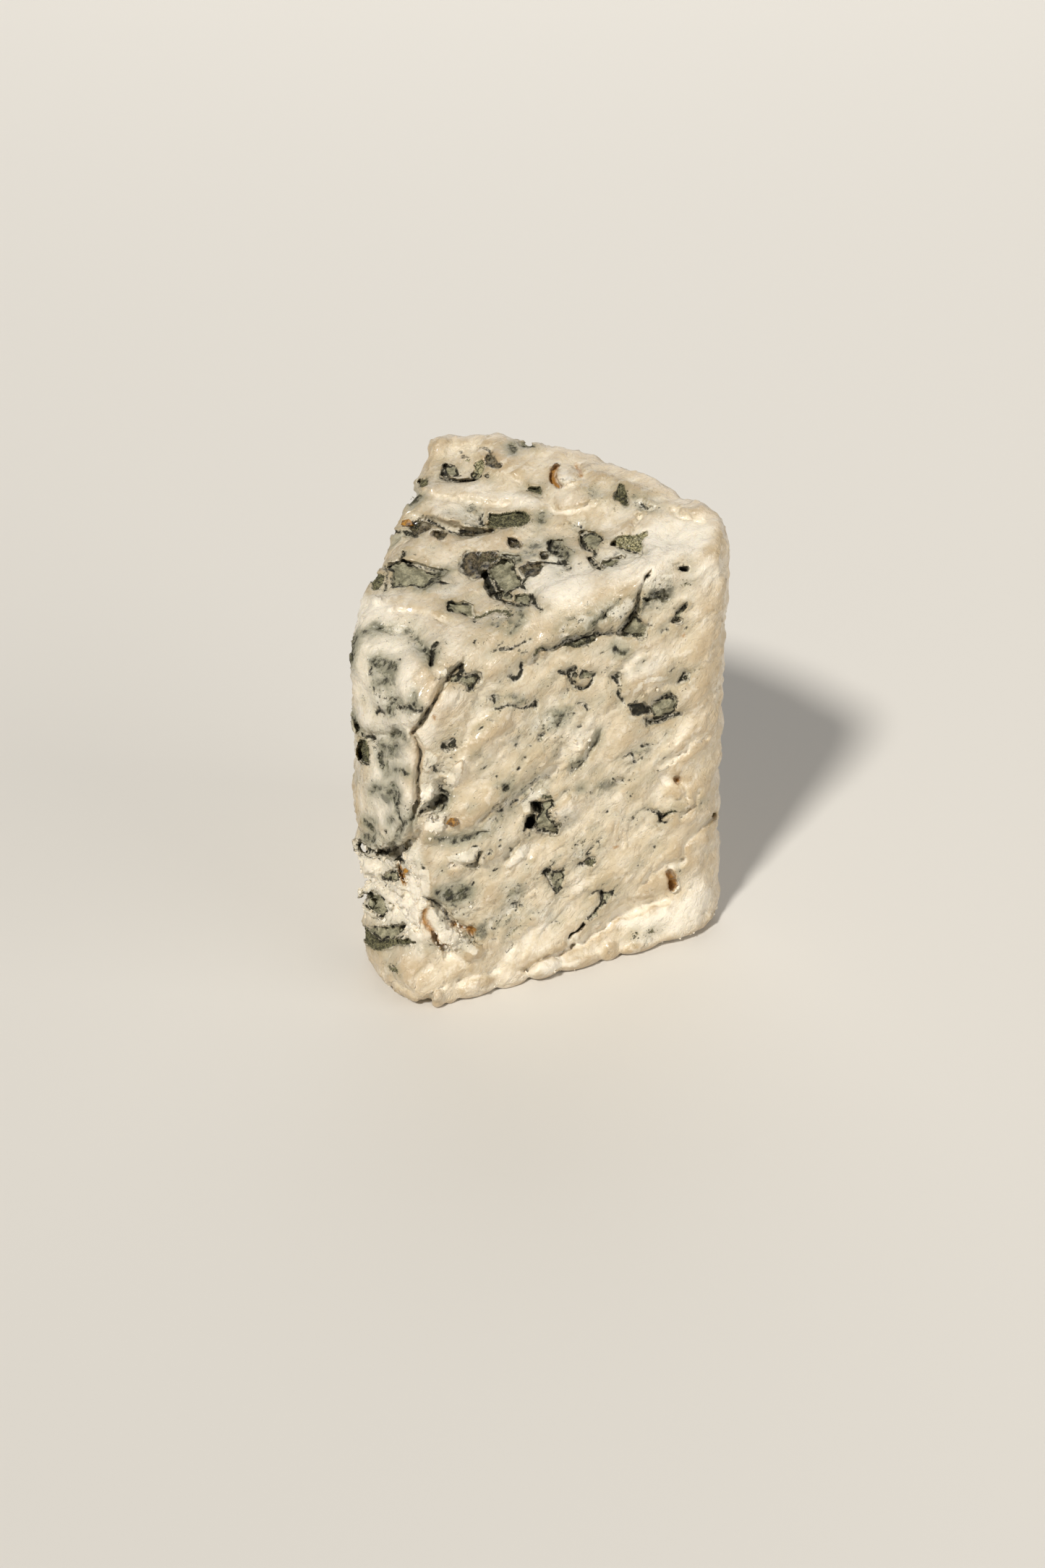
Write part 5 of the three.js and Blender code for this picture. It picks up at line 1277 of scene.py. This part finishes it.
# The paste is moist and the mould dry.
mould_mask = black_mask.larger(stain_mask).larger(slate_mask).larger(olive_mask)
lines = 1 - abs(wire.lumps(2.6, 2, 0.5, 0.4) - 0.5).fade(0.0, 0.035)
height = height + 0.08 * wire.lumps(0.4, 2, 0.5) - 0.1 * lines
bump = wire.node("ShaderNodeBump", None, {"Strength": 0.9, "Distance": 0.0006, "Height": height})
SOFT_LIGHT = (1.0, 0.8, 0.5)  # how far red, green and blue light goes into the paste, one to another
finish(wire, {
    "Base Color": base,
    "Roughness": 0.28 + 0.2 * medium + 0.36 * mould_mask,
    "Normal": bump,
    "Coat Weight": (1 - mould_mask) * wire.lumps(1.5, 3).fade(0.4, 0.6) * 0.5,
    "Coat Roughness": 0.14,
    "Subsurface Weight": 0.2,
    "Subsurface Radius": SOFT_LIGHT,
    "Subsurface Scale": 0.0014,
    "Specular IOR Level": 0.45,
})
mesh.materials.clear()
mesh.materials.append(material)

# Loose curd: crumbs and small flakes of paste that cling where the cheese broke instead of cutting,
# under the flakes and along the foot. They are strewn by a tree of geometry nodes.


def scatter(name, density, material, rules):
    """Small lumps strewn over the paste, as thickly as the layer called density says. Each one is turned
    and drawn out at random, and then bent."""
    tree = bpy.data.node_groups.new(name, "GeometryNodeTree")
    tree.interface.new_socket("Surface", in_out="INPUT", socket_type="NodeSocketGeometry")
    tree.interface.new_socket("Pieces", in_out="OUTPUT", socket_type="NodeSocketGeometry")
    keys = {label: tree.interface.new_socket(label, in_out="INPUT", socket_type="NodeSocketFloat").identifier
            for label in rules}
    wire = Wire(tree)
    given = tree.nodes.new("NodeGroupInput")
    size = {label: Wire(tree, given.outputs[label]) for label in rules}
    thick = wire.node("GeometryNodeInputNamedAttribute", {"data_type": "FLOAT"}, {"Name": density})
    spots = wire.node("GeometryNodeDistributePointsOnFaces", None,
                      {"Mesh": Wire(tree, given.outputs["Surface"]),
                       "Density": thick * size["Per square metre"], "Seed": len(name)}, "Points")
    lump = wire.node("GeometryNodeMeshIcoSphere", None, {"Radius": 0.5, "Subdivisions": 1}, "Mesh")
    turn = wire.node("FunctionNodeRandomValue", {"data_type": "FLOAT_VECTOR"}, {1: (6.3, 6.3, 6.3)})
    draw = [wire.node("FunctionNodeRandomValue", {"data_type": "FLOAT"}, {2: 0.0, 3: 1.0, "Seed": seed}, 1)
            for seed in range(3)]
    length = size["Smallest"] + (size["Largest"] - size["Smallest"]) * draw[0] * draw[0]
    width = length * (0.6 + 0.4 * draw[1])
    thickness = length * size["Flatness"] * (0.6 + 0.4 * draw[2])
    shape = wire.node("ShaderNodeCombineXYZ", None, {0: length, 1: width, 2: thickness})
    strewn = wire.node("GeometryNodeInstanceOnPoints", None,
                       {"Points": spots, "Instance": lump, "Rotation": turn, "Scale": shape})
    strewn = wire.node("GeometryNodeRealizeInstances", None, {"Geometry": strewn})
    where = wire.node("GeometryNodeInputPosition")
    bend = wire.node("ShaderNodeTexNoise", None,
                     {"Vector": where, "Scale": 1.4 / size["Smallest"], "Detail": 0.0}, 1)
    bend = wire.node("ShaderNodeVectorMath", {"operation": "SUBTRACT"}, {0: bend, 1: (0.5, 0.5, 0.5)})
    bend = wire.node("ShaderNodeVectorMath", {"operation": "SCALE"},
                     {0: bend, "Scale": size["Largest"] * 0.9})
    strewn = wire.node("GeometryNodeSetPosition", None, {"Geometry": strewn, "Offset": bend})
    strewn = wire.node("GeometryNodeSetMaterial", None, {"Geometry": strewn, "Material": material})
    wire.node("NodeGroupOutput", None, {"Pieces": strewn})

    piece = bpy.data.objects.new(name, cheese.data.copy())
    bpy.context.collection.objects.link(piece)
    strewing = piece.modifiers.new("strewing", "NODES")
    strewing.node_group = tree
    for label, value in rules.items():
        strewing[keys[label]] = value
    bpy.context.view_layer.update()
    keep_result(piece)
    lumps = rows_of(piece.data, "co")
    lumps[:, 2] = np.maximum(lumps[:, 2], 0)  # none lies under the face that the cheese rests on
    piece.data.vertices.foreach_set("co", lumps.ravel())
    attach(piece, "root")


material, wire = new_material("loose_curd")
curd_tone = mottled(wire, 1.2, 3, 0.6, 0.4, 0.65, (226, 213, 188), (246, 241, 228))
finish(wire, {"Base Color": curd_tone, "Roughness": 0.5, "Subsurface Weight": 0.15,
              "Subsurface Radius": SOFT_LIGHT, "Subsurface Scale": 0.001})
scatter("curd_crumbs", "crumbly", material,
        {"Per square metre": 9e5, "Smallest": 0.0003, "Largest": 0.0011, "Flatness": 0.6})

# Mould granules: the dark, sandy grains of dry mould that fill the olive, brown and gold pockets. They
# are strewn like the curd, but far smaller and closer.
material, wire = new_material("mould_granules")
grain_tone = mottled(wire, 0.5, 2, 0.6, 0.4, 0.62, (40, 40, 28), (128, 124, 88))
finish(wire, {"Base Color": grain_tone, "Roughness": 0.7})
scatter("mould_granules", "granular", material,
        {"Per square metre": 9e6, "Smallest": 0.00012, "Largest": 0.0004, "Flatness": 0.9})

# Amber crystals: hard, dried specks of the paste in the driest cavities, split along flat faces. Each
# is the hull of a few random corners: face, middle, length, width and turn in degrees.
CRYSTALS = [(RIGHT, 33, 44.2, 5, 2.2, -35), (TOP, -26.5, 61.6, 3, 2.2, 20), (NOSE, 18, 30.4, 2.6, 1.4, 60)]
CORNERS = 22
solid = bmesh.new()
draw = np.random.default_rng(17)
for face, across, up, length, width, turned in CRYSTALS:
    _, middle, out, _ = cheese.closest_point_on_mesh(TO_METRES * (face.at(across, up) + AXIS))
    turn = math.radians(turned)
    long_way = Vector(math.cos(turn) * face.along + math.sin(turn) * face.rise)
    cross_way = out.cross(long_way).normalized()
    long_way = cross_way.cross(out)
    corners = [solid.verts.new(middle + TO_METRES * (long_way * length * p + cross_way * width * q
                                                     + out * width * r))
               for p, q, r in draw.uniform(-0.5, 0.5, (CORNERS, 3))]
    hull = bmesh.ops.convex_hull(solid, input=corners)
    bmesh.ops.delete(solid, geom=list(set(hull["geom_interior"] + hull["geom_unused"])), context="VERTS")
bmesh.ops.recalc_face_normals(solid, faces=solid.faces)
mesh = bpy.data.meshes.new("amber_crystals")
solid.to_mesh(mesh)
solid.free()
crystals = bpy.data.objects.new("amber_crystals", mesh)
bpy.context.collection.objects.link(crystals)
material, wire = new_material("amber")
amber_tone = mottled(wire, 0.9, 3, 0.6, 0.38, 0.62, (92, 62, 26), (196, 142, 58))
finish(wire, {"Base Color": amber_tone, "Roughness": 0.25, "Transmission Weight": 0.25,
              "Coat Weight": 0.5})
mesh.materials.append(material)
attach(crystals, "root")

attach(cheese, "root")
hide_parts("cheese")

# A plain pale floor, and soft studio light: a warm key lamp from the front and above, and two wide,
# weaker ones beside and behind the wedge.

FLOOR_WIDTH = 60
bpy.ops.mesh.primitive_plane_add(size=FLOOR_WIDTH)
floor = bpy.context.object
floor.name = "floor"
material, wire = new_material("pale_floor")
finish(wire, {"Base Color": colour(226, 223, 217), "Roughness": 0.6})
floor.data.materials.append(material)


LAMPS_AIM = Vector((0, 0, 0.045))  # half way up the wedge, in metres


def lamp(name, kind, place, settings):
    light = bpy.data.lights.new(name, kind)
    for setting, value in settings.items():
        setattr(light, setting, value)
    holder = bpy.data.objects.new(name, light)
    holder.location = place
    holder.rotation_euler = (LAMPS_AIM - Vector(place)).to_track_quat("-Z", "Y").to_euler()
    bpy.context.collection.objects.link(holder)


lamp("key", "SUN", (0.14, -0.66, 0.7), {"energy": 2.94, "angle": math.radians(7), "color": (1, 0.962, 0.9)})
lamp("fill", "AREA", (1.0, 0.15, 0.38), {"energy": 4.0, "size": 0.8, "color": (1, 0.97, 0.93)})
lamp("back", "AREA", (-0.7, 0.9, 0.7), {"energy": 4, "size": 1.2, "color": (1, 0.98, 0.95)})
world = bpy.data.worlds.new("studio")
bpy.context.scene.world = world
world.use_nodes = True
surroundings = world.node_tree.nodes["Background"].inputs
surroundings["Color"].default_value = (1, 0.98, 0.95, 1)
surroundings["Strength"].default_value = 0.135
bpy.context.scene.view_settings.view_transform = "Standard"
